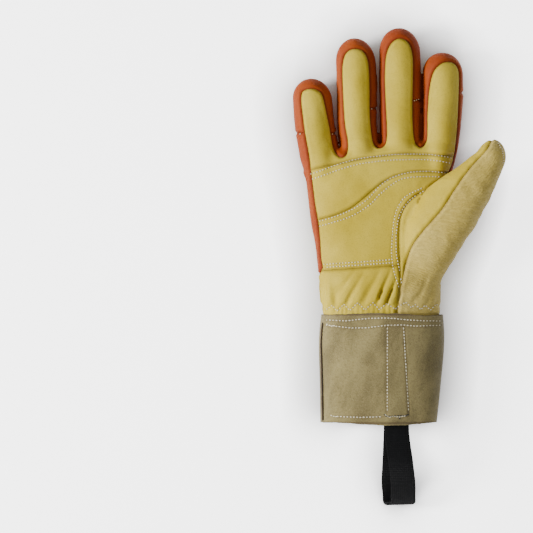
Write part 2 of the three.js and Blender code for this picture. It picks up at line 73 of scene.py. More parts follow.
# The stage in metres: the surface's reach and colours, the middle of the view and the sensor in mm
FLOOR_REACH = 6.0
FLOOR = (0.9, 0.9, 0.9, 1)
FLOOR_SPECK = (0.8, 0.8, 0.8, 1)
VIEW_CENTRE = (-0.0901, -0.0201, 0.02)
SENSOR = 36
# Shares of a grid or a tip so small that the point belongs to its pole
POLE = 1e-5
TIP_END = 1e-3

# Palm sections in mm: edges seen from above, and heights of the underside, side seam and palm
HAND_ROWS = np.array([
    [-66, -45.4, 38.4, 5.4, 22, 41.0],
    [-60, -45.6, 38.9, 5.4, 22, 41.0],
    [-55.5, -47.3, 41.6, 5.2, 22, 41.4],
    [-50, -48.2, 42.0, 4.2, 22, 42.2],
    [-42, -49.0, 42.4, 2.0, 21.5, 42.0],
    [-30, -50.3, 42.6, 0.0, 20.5, 41.0],
    [-15, -52.0, 42.0, -1.5, 19, 39.5],
    [0, -53.6, 42.4, -2.0, 18, 38.0],
    [15, -56.6, 44.6, -2.5, 17, 37.0],
    [30, -58.5, 47.4, -3.0, 16, 36.5],
    [45, -60.4, 50.2, -3.0, 15.5, 35.0],
    [58, -62.4, 51.4, -3.0, 15, 32.5],
])
# The web between the fingers, and the hollow of the palm
WEB = {"from": 58, "to": 73.5, "slant": 0.1, "slant_from": 45, "pull": 4, "x": -4}
PALM_HOLLOW = {"x": -6, "y": 8, "depth": 3.5, "reach": 26}
# Powers of the sections' roundness, the lean of the cuff's top, and how points bunch at the sides
SECTION = {"top": 2.2, "finger_top": 1.8, "cuff_top": 1.95, "cuff_lean": 0.12, "under": 2.6,
           "bunching": 0.3}

# Finger rows: y, centre x, half width; the last row starts the round tip
FINGERS = [
    {"tip": (43.6, 142.6), "rows": np.array([
        [36, 37.5, 8.5], [62, 40.5, 13.4], [78, 42.4, 14.4], [104, 44.1, 15.6], [125, 44.2, 15.6]])},
    {"tip": (10.9, 160.9), "rows": np.array([
        [36, 11.4, 12], [66, 11.7, 14.9], [90, 11.3, 15.5], [118, 11.5, 16.0], [142, 11.3, 15.8]])},
    {"tip": (-23.3, 153.4), "rows": np.array([
        [36, -17.4, 12], [66, -18.6, 14.6], [88, -21.2, 15.1], [112, -21.4, 15.4], [134, -22.1, 15.3]])},
    {"tip": (-56.2, 122.8), "rows": np.array([
        [32, -44.5, 8.5], [60, -48.8, 15.2], [80, -52.6, 15.4], [94, -54.3, 15.4], [106, -55.2, 15.1]])},
]
# Share of the way to the fingertip, side seam height, height above it and depth below it
FINGER_HEIGHTS = np.array([
    [0, 15.5, 9.0, 13.0], [0.2, 15.0, 15.5, 17.5], [0.4, 14.5, 14.5, 17.0],
    [0.75, 15.5, 13.8, 15.5], [1, 18.5, 12.5, 13.0],
])
# Thumb centre line x, y, z with half width and half thickness
THUMB_ROWS = np.array([
    [22.8, -26.6, 21, 19.0, 14.5], [33.4, -3.8, 27, 21.8, 16.5], [49.4, 23.6, 35, 23.4, 16.5],
    [65.7, 42.9, 40, 17.5, 14.5], [78.8, 60.2, 42, 11.6, 11.0],
])
THUMB_TIP = np.array([86.2, 73.9, 43.0])
THUMB_ROUNDNESS = 0.9
# Share of each hull's grid below its round tip, and how full that tip is
FINGER_END = {"body": 0.75, "fullness": 0.94}
THUMB_END = {"body": 0.72, "fullness": 0.9}
# Smoothing of the flat sides, where the hulls of the fingers, the thumb and the hand meet
EASED = {"from": -44, "to": 74, "flatness": 0.35, "rounds": 45}

TAPER_Y = -30
# The palm side's outline in plan, up the little finger's side and round every finger
PALM_LEFT = [(-80, TAPER_Y - 5), (-52, TAPER_Y)]
PALM_EDGE = [
    (-48.1, -20.9), (-49.4, -11.4), (-50.0, 0.0), (-51.3, 13.3), (-53.6, 26.6), (-55.1, 38.0),
    (-57.0, 53.2), (-58.3, 64.6), (-60.0, 74.1), (-61.4, 81.7), (-63.1, 95.0), (-64.2, 104.5),
    (-64.0, 110.2), (-62.7, 113.0), (-59.9, 114.6), (-55.1, 115.1), (-50.4, 113.6), (-47.7, 110.6),
    (-46.0, 105.5), (-44.1, 96.9), (-41.8, 86.5), (-40.4, 77.9), (-38.9, 70.3), (-36.8, 65.5),
    (-34.2, 63.1), (-31.4, 63.3),
    (-29.3, 66.0), (-28.7, 72.2), (-29.6, 79.8), (-31.0, 87.4), (-31.9, 98.8), (-32.7, 114.0),
    (-33.1, 127.3), (-32.7, 133.9), (-31.2, 140.0), (-28.1, 143.8), (-23.8, 145.3), (-19.0, 145.0),
    (-15.6, 142.5), (-13.3, 138.3), (-12.0, 132.1), (-11.4, 121.6), (-11.2, 108.3), (-11.0, 95.0),
    (-10.1, 83.6), (-9.0, 76.0), (-7.4, 72.0), (-4.4, 70.3),
    (-1.1, 72.0), (0.4, 76.0), (0.8, 83.6), (0.5, 91.2), (-0.2, 104.5), (-0.8, 119.7), (-0.6, 133.0),
    (0.4, 140.6), (2.3, 146.3), (5.3, 150.5), (9.1, 152.8), (13.3, 152.9), (16.7, 151.2), (19.2, 147.8),
    (20.9, 142.5), (21.7, 134.9), (21.7, 121.6), (21.3, 108.3), (21.3, 95.0), (21.8, 83.6), (22.6, 77.0),
    (23.9, 72.8), (26.8, 70.7),
    (29.6, 72.4), (31.2, 77.0), (31.5, 85.5), (31.5, 95.0), (32.1, 104.5), (32.9, 114.0), (35.0, 124.1),
    (38.0, 130.2), (42.6, 134.1), (47.5, 135.5), (51.7, 134.9), (54.9, 132.1), (56.6, 126.9),
    (56.8, 119.7), (56.4, 108.3), (55.9, 95.0), (55.1, 81.7), (53.6, 68.4), (51.5, 58.0), (47.5, 48),
    (43.5, 30), (40.0, 10), (38.5, -12),
]
PALM_RIGHT = [(43, TAPER_Y), (80, TAPER_Y - 5)]
# The back's fingers: edges high and low, panel tip and the web below it
BACK_FINGERS = [
    (-68.0, -46.0, -61.5, -40.5, 120.4, 64.6), (-34.0, -13.0, -29.5, -10.5, 151.0, 73.3),
    (-1.5, 20.5, 0.5, 21.0, 158.4, 73.9), (31.2, 54.6, 31.8, 49.6, 140.0, 0),
]
BACK_LEFT = [(-58.5, 50), (-55.0, 14), (-52.2, -10), (-52, TAPER_Y), (-80, TAPER_Y - 5)]
BACK_RIGHT = [(44.5, 40), (40.0, 14), (37.5, 0), (38.0, -18), (43, TAPER_Y), (80, TAPER_Y - 5)]
EDGE_FOOT_Y = {"left": 62, "right": 66}
SEAM_HEIGHT = [(-FAR, 22), (TAPER_Y - 4, 22), (TAPER_Y + 4, 16), (FAR, 16)]

# Lapped edges across the palm; the panel nearer the wrist lies on top at the upper two
UPPER_SEAM = [(-80, 45), (-57, 53.0), (-20, 61.4), (15.2, 65.8), (50.9, 63.6), (90, 61)]
CURVED_SEAM = [(-80, 7.5), (-50.9, 15.4), (-26.6, 23.8), (-1.5, 43.8), (15.2, 50.7), (27.4, 52.4),
               (46.4, 51), (90, 48)]
LOWER_SEAM = [(-80, -24.8), (-47.9, -23.0), (4.9, -19.4), (90, -14)]
BASE_SEAM = [(62, 52), (30, 37.8), (20.5, 31.2), (15.3, 25.4), (11.4, 16.8), (10.4, 5.4), (10.4, -4.2),
             (10.8, -13.7), (11.2, -27.1), (10.2, -38.5), (8.8, -50), (8.4, -80)]
RIDGE_SEAM = [(90, 88), (80.1, 75.5), (75.8, 68.3), (62.9, 54), (52.4, 38.8), (42, 22.6), (27.7, 6.3),
              (19.1, -6.1), (15.3, -18.5), (12.9, -29.9), (11, -38.8), (9.4, -50), (9.0, -80)]
THUMB_BACK = [(110, 44), (69.3, 19), (47.8, -1), (30, -14), (24, 30), (60, 100), (110, 100)]
THUMB_BACK_EDGE = [(0, 16), (33.4, 24.5), (49.4, 32.5), (65.7, 37.5), (79.4, 39.5), (110, 41)]
LENS = {"left": -49.4, "right": 40.3, "low": 25.8, "high": 35, "crown": 50.5, "keel": 21.7}

# The orange band is sewn from six strips between these outlines
STRIP_ZONES = {
    "radial_side_strip": [(80, 112), (43, 112), (43, 60), (20, 20), (20, -45), (80, -45)],
    "fourchette_index_middle": [(80, 112), (80, 180), (27.3, 180), (27.3, 106.4), (11, 106.4), (11, 50),
                                (43, 50), (43, 112)],
    "fourchette_middle_ring": [(27.3, 106.4), (27.3, 180), (-5.6, 180), (-5.6, 100.3), (-20.1, 100.3),
                               (-20.1, 50), (11, 50), (11, 106.4)],
    "fourchette_ring_little": [(-5.6, 100.3), (-5.6, 180), (-39, 180), (-37.7, 92), (-36.5, 81.3),
                               (-52.1, 81.3), (-52.1, 45), (-20.1, 45), (-20.1, 100.3)],
    "little_tip_band": [(-36.5, 81.3), (-37.7, 92), (-39.2, 180), (-90, 180), (-90, 81.3)],
    "ulnar_side_strip": [(-90, 81.3), (-52.1, 81.3), (-52.1, 45), (-30, 45), (-30, -45), (-90, -45)],
}

# Cuff rows: y, left, right, underside, side and top heights
CUFF_ROWS = np.array([
    [-137.6, -49.2, 39.4, 2.5, 22, 43.5], [-111, -49.6, 42.2, 2.5, 22.5, 44.5],
    [-68, -49.8, 44.9, 2.5, 22.5, 45.0], [-55.5, -48.4, 43.9, 2.5, 22.5, 44.6],
])
CUFF_FLOOR = 2.5
# The strip's outline from its lower left corner, its thickness, and how its rim rises
CUFF_STRIP = [(1.1, -134.5), (17.5, -134.5), (13.6, -64.5), (1.1, -64.5)]
STRIP_WALL = 1.2
STRIP_RIM = 1.6
STRIP_SUNK = 0.1
# Where the suede is darker: its ends, the painted shadow beside the strip's sides, and the edge at the
# left
RAW_ENDS = (-138.6, -56.4)
STRIP_SIDES = [[(1.3, -134), (1.3, -65)], [(17.5, -134), (13.6, -65)]]
EDGE = {"run": (-137.4, -62.5), "inward": 1.5, "above_side": 7.2, "half_width": 0.62, "half_height": 1.5,
        "thin_end": 0.35, "end_share": 0.02, "wave": 0.6, "waves": [(0.35, 0, 0.32), (0.5, 3, 0.07)]}
# The label's place and turn, and each layer's length, width and heights over the surface
LABEL = {"x": -3.6, "y": -120.2, "tilt": -1.5, "corner": 0.6, "corner_power": 14, "follow": 0.92,
         "band": (71, 22.4, 1.15, 2.2), "patch": (60, 14.8, 0.05, 1.0)}
# The pull loop's y, height and half opening, its fold, and the least gap between its layers
LOOP_LINE = [
    (-118, 36.0, 0), (-137, 35.4, 0), (-150, 32.5, 1.5), (-168, 26.5, 3.4), (-184, 16.5, 4.6),
    (-194, 11.0, 4.4), (-199.5, 8.6, 2.4),
]
LOOP_FOLD = (11.2, -201.0, 9.4)
# Its sideways drift along -y: each layer's x and shift, and the back layer's turn into the fold
LOOP_DRIFT = {"from": 138, "to": 190, "front": (8.3, 5.6), "back": (8.1, -1.3), "fold": (1.5, 186, 200)}
LOOP_GAP = 0.85
LOOP_GRID = (26, 300)


class Curve:
    """The columns of a table at a value of its first column, on a smooth curve through its rows."""

    def __init__(self, table):
        self.x = table[:, 0].tolist()
        self.y = table[:, 1:]
        self.slope = np.gradient(self.y, table[:, 0], axis=0)

    def __call__(self, key):
        x, y = self.x, self.y
        key = min(max(key, x[0]), x[-1])
        i = min(max(bisect.bisect_left(x, key) - 1, 0), len(x) - 2)
        span = x[i + 1] - x[i]
        t = (key - x[i]) / span
        c = t * t * (3 - 2 * t)
        b = t * (1 - t) * (1 - t) * span
        d = t * t * (t - 1) * span
        return y[i] * (1 - c) + self.slope[i] * b + y[i + 1] * c + self.slope[i + 1] * d


HAND_CURVE = Curve(HAND_ROWS)
HEIGHT_CURVE = Curve(FINGER_HEIGHTS)
CUFF_CURVE = Curve(CUFF_ROWS)


def smooth_line(points, steps=6):
    """A Catmull-Rom curve through points, with a few steps between each pair."""
    p = np.array(points, float)
    padded = np.vstack([2 * p[0] - p[1], p, 2 * p[-1] - p[-2]])
    line = []
    for i in range(1, len(padded) - 2):
        a, b, c, d = padded[i - 1:i + 3]
        for k in range(steps):
            t = k / steps
            line.append(0.5 * ((2 * b) + (c - a) * t + (2 * a - 5 * b + 4 * c - d) * t**2
                               + (3 * b - a - 3 * c + d) * t**3))
    line.append(p[-1])
    return np.array(line)


def step_up(value, low, high):
    """0 below low, 1 above high and a smooth rise between."""
    t = min(max((value - low) / (high - low), 0.0), 1.0)
    return t * t * (3 - 2 * t)


def bell(value, centre, reach):
    return math.exp(-0.5 * ((value - centre) / reach) ** 2)


def new_object(name, bm, smooth=True):
    """An object of a bmesh, whose normals point outwards."""
    bmesh.ops.recalc_face_normals(bm, faces=bm.faces)
    mesh = bpy.data.meshes.new(name)
    bm.to_mesh(mesh)
    bm.free()
    if smooth:
        mesh.shade_smooth()
    obj = bpy.data.objects.new(name, mesh)
    bpy.context.scene.collection.objects.link(obj)
    return obj


def placed_grid(name, columns, rows, place, wraps=True):
    """A grid whose vertices are placed by place(u, v); its seam and poles are merged."""
    bm = bmesh.new()
    bmesh.ops.create_grid(bm, x_segments=columns, y_segments=rows, size=0.5)
    for vert in bm.verts:
        u = vert.co.x + 0.5
        v = vert.co.y + 0.5
        if wraps and u > 0.9999:
            u = 0.0
        vert.co = place(u, v)
    if wraps:
        bmesh.ops.remove_doubles(bm, verts=bm.verts, dist=1e-4)
    return new_object(name, bm)


def section_point(u, left, right, low, side, high, inset, y, top=SECTION["top"], lean=0.0):
    """One point of a section: u from 0 to 1 goes round it, first over the top and then under."""
    on_top = u < 0.5
    across = 1 - 4 * u if on_top else 4 * u - 3
    spread = across + (math.sin(math.pi / 2 * across) - across) * SECTION["bunching"]
    power = top if on_top else SECTION["under"]
    steep = spread + lean * (1 - spread**2) if on_top else spread
    rise = max(0.0, 1 - abs(steep) ** power) ** (1 / power)
    x = (right + left) / 2 + ((right - left) / 2 - inset) * spread
    z = side + (high - side - inset) * rise if on_top else side - (side - low - inset) * rise
    return Vector((x, y, z))


def hand_hull(inset, columns, rows):
    """The palm and wrist without fingers; an inset makes the hollow, which runs out at the wrist."""
    start = HAND_ROWS[0][0] - 3 * inset
    web_top = WEB["to"] - inset
    last = HAND_CURVE(WEB["from"])

    def place(u, v):
        body = (WEB["from"] - start) / (web_top - start)
        if v <= body:
            y = start + v * (web_top - start)
            left, right, low, side, high = HAND_CURVE(y)
            if v < POLE:
                return Vector((WEB["x"], y, side))
        else:
            share = math.sin(math.pi / 2 * (v - body) / (1 - body))
            shrink = math.sqrt(max(0.0, 1 - share**2))
            y = WEB["from"] + share * (web_top - WEB["from"])
            left, right, low, side, high = last
            left, right = left + WEB["pull"] * share, right - WEB["pull"] * share
            high, low = side + (high - side) * shrink, side + (low - side) * shrink
            if shrink < 1e-4:
                return Vector((WEB["x"], y, side))
        p = section_point(u, left, right, low, side, high, inset, y)
        p.z = max(p.z, inset)
        if u < 0.5:
            dent = bell(p.x, PALM_HOLLOW["x"], PALM_HOLLOW["reach"])
            p.z -= PALM_HOLLOW["depth"] * dent * bell(y, PALM_HOLLOW["y"], PALM_HOLLOW["reach"])
        p.y += WEB["slant"] * p.x * step_up(y, WEB["slant_from"], WEB["from"])
        return p

    return placed_grid("hand_hull", columns, rows, place)


def finger_hull(finger, inset, columns, rows):
    """One finger with its round tip."""
    table = finger["rows"]
    tip_x, tip_y = finger["tip"]
    first, cap = table[0][0], table[-1][0]
    width_curve = Curve(table)
    end = tip_y - inset

    def place(u, v):
        body = (cap - first) / (end - first) * FINGER_END["body"]
        if v <= body:
            y = first + v / body * (cap - first)
            scale = 1.0
            x, half = width_curve(y)
        else:
            turn = math.pi / 2 * (v - body) / (1 - body)
            scale = max(math.cos(turn), 0.0) ** FINGER_END["fullness"]
            y = cap + (end - cap) * math.sin(turn)
            half = table[-1][2]
            x = table[-1][1] + (tip_x - table[-1][1]) * math.sin(turn)
        side, up, down = HEIGHT_CURVE((y - first) / (tip_y - first))
        if v < POLE or scale < TIP_END:
            return Vector((x, y, side))
        inner = max(half - inset, 1) * scale
        p = section_point(u, x - inner, x + inner, side - (down - inset) * scale, side,
                          side + (up - inset) * scale, 0, y, SECTION["finger_top"])
        p.z = max(p.z, inset)
        return p

    return placed_grid("finger_hull", columns, rows, place)


def thumb_hull(inset, columns, rows):
    """The thumb, whose sections stand square to its centre line."""
    centres = smooth_line(THUMB_ROWS[:, :3], 12)
    shares = np.linspace(0, len(THUMB_ROWS) - 1, len(centres))
    line = Curve(np.column_stack([shares, centres]))
    halves = [np.interp(shares, range(len(THUMB_ROWS)), THUMB_ROWS[:, k]) for k in (3, 4)]
    halves = Curve(np.column_stack([shares] + halves))
    top = shares[-1]
    ahead = Vector(centres[-1] - centres[-2]).normalized()
    tip = Vector(THUMB_TIP) - ahead * inset

    def place(u, v):
        body = THUMB_END["body"]
        share = min(v / body, 1.0) * top
        centre = Vector(line(share))
        along = Vector(line(min(share + 0.05, top))) - Vector(line(max(share - 0.05, 0)))
        along.normalize()
        half, thick = halves(share)
        scale = 1.0
        if v > body:
            turn = math.pi / 2 * (v - body) / (1 - body)
            scale = max(math.cos(turn), 0.0) ** THUMB_END["fullness"]
            centre = centre.lerp(tip, math.sin(turn))
        if v < POLE or scale < TIP_END:
            return centre
        across = along.cross(Vector((0, 0, 1))).normalized()
        outward = across.cross(along).normalized()
        turn = 2 * math.pi * u
        c, s = math.cos(turn), math.sin(turn)
        c = math.copysign(abs(c) ** THUMB_ROUNDNESS, c)
        s = math.copysign(abs(s) ** THUMB_ROUNDNESS, s)
        return centre + across * ((half - inset) * scale * c) + outward * ((thick - inset) * scale * s)

    return placed_grid("thumb_hull", columns, rows, place)


def merged(objects, name):
    """Several objects' meshes as one object; the originals go."""
    bm = bmesh.new()
    for obj in objects:
        bm.from_mesh(obj.data)
        bpy.data.objects.remove(obj)
    return new_object(name, bm)


def applied(obj):
    """Works an object's modifiers into its mesh."""
    graph = bpy.context.evaluated_depsgraph_get()
    mesh = bpy.data.meshes.new_from_object(obj.evaluated_get(graph))
    obj.modifiers.clear()
    obj.data = mesh
    return obj


def reworked(obj, change):
    """Lets a function change an object's mesh as a bmesh."""
    bm = bmesh.new()
    bm.from_mesh(obj.data)
    change(bm)
    bm.to_mesh(obj.data)
    bm.free()
    return obj


def smoothed(obj, rounds, chosen=lambda vert: True):
    """Evens out an object's mesh, or the vertices that are chosen."""
    def change(bm):
        verts = [v for v in bm.verts if chosen(v)]
        for _ in range(rounds):
            bmesh.ops.smooth_vert(bm, verts=verts, factor=0.5, use_axis_x=True, use_axis_y=True,
                                  use_axis_z=True)
    return reworked(obj, change)


def on_flat_side(vert):
    return EASED["from"] < vert.co.y < EASED["to"] and abs(vert.normal.z) > EASED["flatness"]


def remeshed(obj, voxel, rounds):
    """One even skin round everything in an object, with its steps smoothed away."""
    remesh = obj.modifiers.new("skin", "REMESH")
    remesh.mode = "VOXEL"
    remesh.voxel_size = voxel
    return smoothed(applied(obj), rounds)


def carved(obj, tool, operation, name):
    """A new object: the obj cut by a tool, or kept inside it."""
    made = obj.copy()
    made.data = obj.data.copy()
    made.name = made.data.name = name
    bpy.context.scene.collection.objects.link(made)
    cutter = made.modifiers.new("cut", "BOOLEAN")
    cutter.object = tool
    cutter.operation = operation
    cutter.solver = "MANIFOLD"
    applied(made)
    made.data.name = name
    if not made.data.polygons:
        raise ValueError(f"{name} has nothing left after its cut")
    return made


def area(points):
    p = np.array(points)
    q = np.roll(p, -1, axis=0)
    return 0.5 * float(np.sum(p[:, 0] * q[:, 1] - q[:, 0] * p[:, 1]))


def grown(points, distance):
    """An outline moved outwards by a distance; a negative one moves it inwards."""
    turn = 1 if area(points) > 0 else -1
    moved = []
    for i, point in enumerate(points):
        before = Vector(points[i - 1])
        after = Vector(points[(i + 1) % len(points)])
        along = (after - before).normalized()
        moved.append((point[0] + along.y * distance * turn, point[1] - along.x * distance * turn))
    return moved


def prism(points, over="xy"):
    """A closed column over an outline in plan, over Y and Z, or over X and Z."""
    bm = bmesh.new()

    def place(a, b, depth):
        return {"xy": (a, b, depth), "yz": (depth, a, b), "xz": (a, depth, b)}[over]

    face = bm.faces.new([bm.verts.new(place(a, b, -FAR)) for a, b in points])
    raised = bmesh.ops.extrude_face_region(bm, geom=[face])
    tops = [g for g in raised["geom"] if isinstance(g, bmesh.types.BMVert)]
    bmesh.ops.translate(bm, verts=tops, vec=place(0, 0, 2 * FAR))
    bmesh.ops.triangulate(bm, faces=bm.faces)
    return new_object("zone", bm, smooth=False)


def arc(left, right, y, rise, steps):
    turns = [math.pi * (1 - k / steps) for k in range(steps + 1)]
    centre, half = (left + right) / 2, (right - left) / 2
    return [(centre + half * math.cos(t), y + rise * math.sin(t)) for t in turns]


def finger_edge(low, high, y_low, y_high):
    """One long side of a finger panel, which bows gently between its foot and its tip."""
    share = np.linspace(0, 1, 7)[1:-1]
    return [(low + (high - low) * step_up(s, 0, 0.8), y_low + (y_high - y_low) * s) for s in share]


def hand_outline(fingers, left_edge, right_edge):
    """The palm or back panel in plan: up each finger, round its tip and through each web."""
    points = [(-80, -FAR)] + left_edge[::-1]
    for i, (left, right, left_low, right_low, tip, web) in enumerate(fingers):
        foot = EDGE_FOOT_Y["left"] if i == 0 else points[-1][1]
        if i == 0:
            points.append((left_low, foot))
        rise = (right - left) * 0.55
        points += finger_edge(left_low, left, foot, tip - rise)
        points += arc(left, right, tip - rise, rise, 20)
        if i == len(fingers) - 1:
            points += finger_edge(right_low, right, EDGE_FOOT_Y["right"], tip - rise)[::-1]
            points.append((right_low, EDGE_FOOT_Y["right"]))
            break
        next_low = fingers[i + 1][2]
        depth = (next_low - right_low) * 0.6
        points += finger_edge(right_low, right, web + depth, tip - rise)[::-1]
        points += arc(right_low, next_low, web + depth, -depth, 14)
    return points + list(right_edge) + [(80, -FAR)]


def lens_outline():
    share = np.linspace(0, 1, 25)
    x = LENS["left"] + (LENS["right"] - LENS["left"]) * share
    low = LENS["low"] + (LENS["keel"] - LENS["low"]) * np.sin(math.pi * share)
    high = LENS["high"] + (LENS["crown"] - LENS["high"]) * np.sin(math.pi * share)
    return list(zip(x, low)) + list(zip(x[::-1], high[::-1]))


def beyond(seam, offset):
    """Everything on the fingertips' side of a seam across the palm."""
    line = [(x, y + offset) for x, y in smooth_line(seam)]
    return prism(line + [(FAR, FAR), (-FAR, FAR)])


def thumb_side(seam, offset):
    """Everything on the thumb's side of a seam that runs down to the wrist."""
    line = [(x, y) for x, y in smooth_line(seam)] + [(FAR, -80), (FAR, seam[0][1])]
    return prism(grown(line, -offset))


def height_side(line, over, above, lift):
    """Everything above or below a line of heights over Y or over X."""
    edge = FAR if above else -FAR
    return prism([(line[0][0], edge)] + [(a, z + lift) for a, z in line] + [(line[-1][0], edge)], over)


UPPER_X, UPPER_Y = np.array(UPPER_SEAM, float).T
# Low lumps all over the leather: height, pitch and shift of their noise
LUMPS = [(0.55, 0.042, 0), (0.16, 0.13, 7)]
# Gathered lines: y, spread of the folds above it and shift of their noise
GATHERS = {"palm": (-50, 8.5, 0.0), "back_wrist": (-49, 6.5, 9.0), "back_hand": (-8, 6.5, 5.0)}
# The folds' heights and reaches: low pleats below the line, high folds above it and the line itself
GATHER = {
    "size": 0.95, "vary": 1.3, "least": 0.35, "most": 1.05, "lean": 0.5, "lean_x": (-42, -30),
    "low": 0.24, "low_middle": 0.35, "low_at": -4.5, "low_reach": 3.2, "low_pitch": 0.42,
    "high_middle": 0.55, "high_at": 6.5, "wander": 0.55, "line": 0.5, "line_reach": 1.6,
    "thumb_calm": 0.75, "thumb_x": (3, 17), "hand_share": 0.8, "hand_z": (-9, -5),
}
GATHERS_END_Y = 10
CUFF_EDGE_Y = (-57.5, -53)
# The swelling above the first seam and the dip beside it: height, distance from it and reach
PUFF = [(1.0, 4.6, 2.4), (-0.5, 1.0, 1.3)]
# The first crease across each finger: y and depth
FINGER_CREASES = [(74.0, 0.3), (78.0, 0.22), (76.0, 0.22), (68.0, 0.22)]
CREASE = {"half_width": 16, "next": 24, "drift": 3.0, "reach": 1.5, "next_reach": 1.8, "next_depth": 0.6}
# The thumb's direction in plan, and how far in any of these shapes may take the skin
THUMB_RUN = (0.62, 0.78)
DEEPEST = -0.9


class LeatherField:
    """Shapes of the soft leather on the closed hull: gathers, lumps and creases."""

    def __init__(self, sizes):
        self.sizes = sizes

    def gathers(self, x, y, line_y, spread, shift):
        """Folds that run along the glove and die out away from a gathered line."""
        g = GATHER
        pitch = self.sizes.gather_pitch
        rise = y - line_y
        wander = noise.noise(Vector((x * 0.05 + shift, rise * 0.03, shift)))
        pleat = x / (g["low_pitch"] * pitch) + 1.1 * noise.noise(Vector((x * 0.09, shift, 6.0)))
        lean = g["lean"] * step_up(x, *g["lean_x"])
        fold = (x - lean * rise) / pitch + g["wander"] * wander + 0.3 * shift
        low_valley, high_valley = [(0.5 + 0.5 * math.cos(2 * math.pi * k)) ** 2 for k in (pleat, fold)]
        size = g["size"] + g["vary"] * noise.noise(Vector((x * 0.06, 0.3, shift + 4)))
        size = min(g["most"], max(g["least"], size))
        low = g["low"] * (g["low_middle"] - low_valley) * bell(rise, g["low_at"], g["low_reach"])
        reach = spread * (0.7 + 0.5 * size)
        high = (g["high_middle"] - high_valley) * bell(rise, g["high_at"], reach) * step_up(rise, -1, 3)
        near_thumb = 1 - g["thumb_calm"] * step_up(x, *g["thumb_x"])
        depth = self.sizes.gather_depth * size * near_thumb
        return depth * (low + high) - g["line"] * bell(rise, 0, g["line_reach"])

    def puffs(self, x, y):
        """Soft leather that swells beside a stitched seam."""
        above = y - np.interp(x, UPPER_X, UPPER_Y)
        size = 0.7 + 0.9 * noise.noise(Vector((x * 0.07, 2.0, 7.0)))
        shape = sum(height * bell(above, at, reach) for height, at, reach in PUFF)
        return self.sizes.puff_height * size * shape

    def creases(self, x, y):
        """How deep the two creases across each finger are."""
        depth = 0.0
        for finger, (crease_y, size) in enumerate(FINGER_CREASES):
            if abs(x - FINGERS[finger]["tip"][0]) < CREASE["half_width"]:
                drift = CREASE["drift"] * noise.noise(Vector((x * 0.09, finger * 3.1, 0.0)))
                depth += size * bell(y, crease_y + drift, CREASE["reach"])
                depth += CREASE["next_depth"] * size * bell(
                    y, crease_y + CREASE["next"] + drift * 1.6, CREASE["next_reach"])
        return depth

    def thumb_ripples(self, x, y):
        """Shallow ripples along the thumb's outer side."""
        along = x * THUMB_RUN[0] + y * THUMB_RUN[1]
        side = x * THUMB_RUN[1] - y * THUMB_RUN[0]
        ripple = noise.noise(Vector((along * 0.16 + side * 0.05, side * 0.055, 3.0)))
        return 0.42 * ripple * step_up(side, 6, 14)

    def at(self, p, n):
        """How far the skin moves out at a point with a normal."""
        x, y, z = p
        move = sum(size * noise.noise(p * pitch + Vector((shift, 0, 0)))
                   for size, pitch, shift in LUMPS)
        if y < GATHERS_END_Y:
            clear = step_up(y, *CUFF_EDGE_Y)
            top = step_up(n.z, -0.5, 0.3)
            under = step_up(-n.z, -0.2, 0.4)
            move += clear * top * self.gathers(x, y, *GATHERS["palm"])
            move += clear * under * self.gathers(x, y, *GATHERS["back_wrist"])
            low_down = step_up(-z, *GATHER["hand_z"])
            share = GATHER["hand_share"] * under
            move += share * self.gathers(x, y, *GATHERS["back_hand"]) * low_down
        if n.z > 0 and y > 40:
            move += step_up(n.z, 0.1, 0.6) * self.puffs(x, y) - self.creases(x, y)
        if x > 24 and y > -20 and z > 20:
            move += self.thumb_ripples(x, y)
        return max(move, DEEPEST)


def moved_out(obj, field):
    """Moves each vertex of a skin by a field along its normal, and keeps it off the surface."""
    mesh = obj.data
    normals = np.empty(len(mesh.vertices) * 3, np.float32)
    mesh.vertex_normals.foreach_get("vector", normals)
    for vert, normal in zip(mesh.vertices, normals.reshape(-1, 3)):
        n = Vector(normal)
        vert.co = vert.co + n * field.at(vert.co, n)
        vert.co.z = max(vert.co.z, 0.0)
    mesh.update()


def line_points(line, step):
    """Points at an even step along a polyline."""
    line = np.array(line, float)
    lengths = np.linalg.norm(np.diff(line, axis=0), axis=1)
    run = np.concatenate([[0], np.cumsum(lengths)])
    wanted = np.arange(0, run[-1] + 1e-9, step)
    return np.column_stack([np.interp(wanted, run, line[:, k]) for k in range(line.shape[1])])


def tree_of(points):
    tree = KDTree(max(len(points), 1))
    for i, p in enumerate(points):
        tree.insert(Vector(p), i)
    tree.balance()
    return tree


def plan_tree(rows):
    """A search tree over rows in plan."""
    points = [(p[0], p[1], 0) for row in rows for p in line_points(row, 0.4)]
    return tree_of(points)


# Lapped seams: the panel, the seam and whether the panel lies on top there
LAPS = {
    "finger_palm_panel": [("upper", False)],
    "upper_palm_panel": [("upper", True), ("curved", False), ("base", True)],
    "palm_patch": [("curved", True), ("lower", True), ("base", True)],
    "palm_heel_panel": [("lower", False), ("base", True)],
    "thumb_inner_panel": [("base", False)],
    "thumb_outer_panel": [("base", False)],
}
# Each lapped seam's line, and how dark the painted shade at its edge is, which also sets how high or
# deep the lap is shaped
SEAM_LINES = {"upper": (UPPER_SEAM, 0.12), "curved": (CURVED_SEAM, 0.14), "lower": (LOWER_SEAM, 0.75),
              "base": (BASE_SEAM, 1.0)}
# What each panel stores per vertex: how near a turned seam, a lap and a stitched row are, as the
# strength of their painted shade, and its skin
LEATHER_LAYERS = ("seam", "lap", "row", "skin")
FULL_DARK = 1.0
DEEP_SEAM = 1.6
# Reach in mm of the dents, rolls and painted shades beside a turned seam, a lapping edge and a lapped
# one
TURNED = {"dent": 1.05, "roll": 0.22, "roll_at": 2.6, "roll_reach": 1.4, "shade": 1.15}
OVER = {"rise": 5.5, "edge": 0.7, "drop": 0.35, "shade": 0.35}
UNDER = {"depth": 0.35, "dent": 1.6, "shade": 1.15}
ROW = {"shade": 1.1, "dent": 1.0}
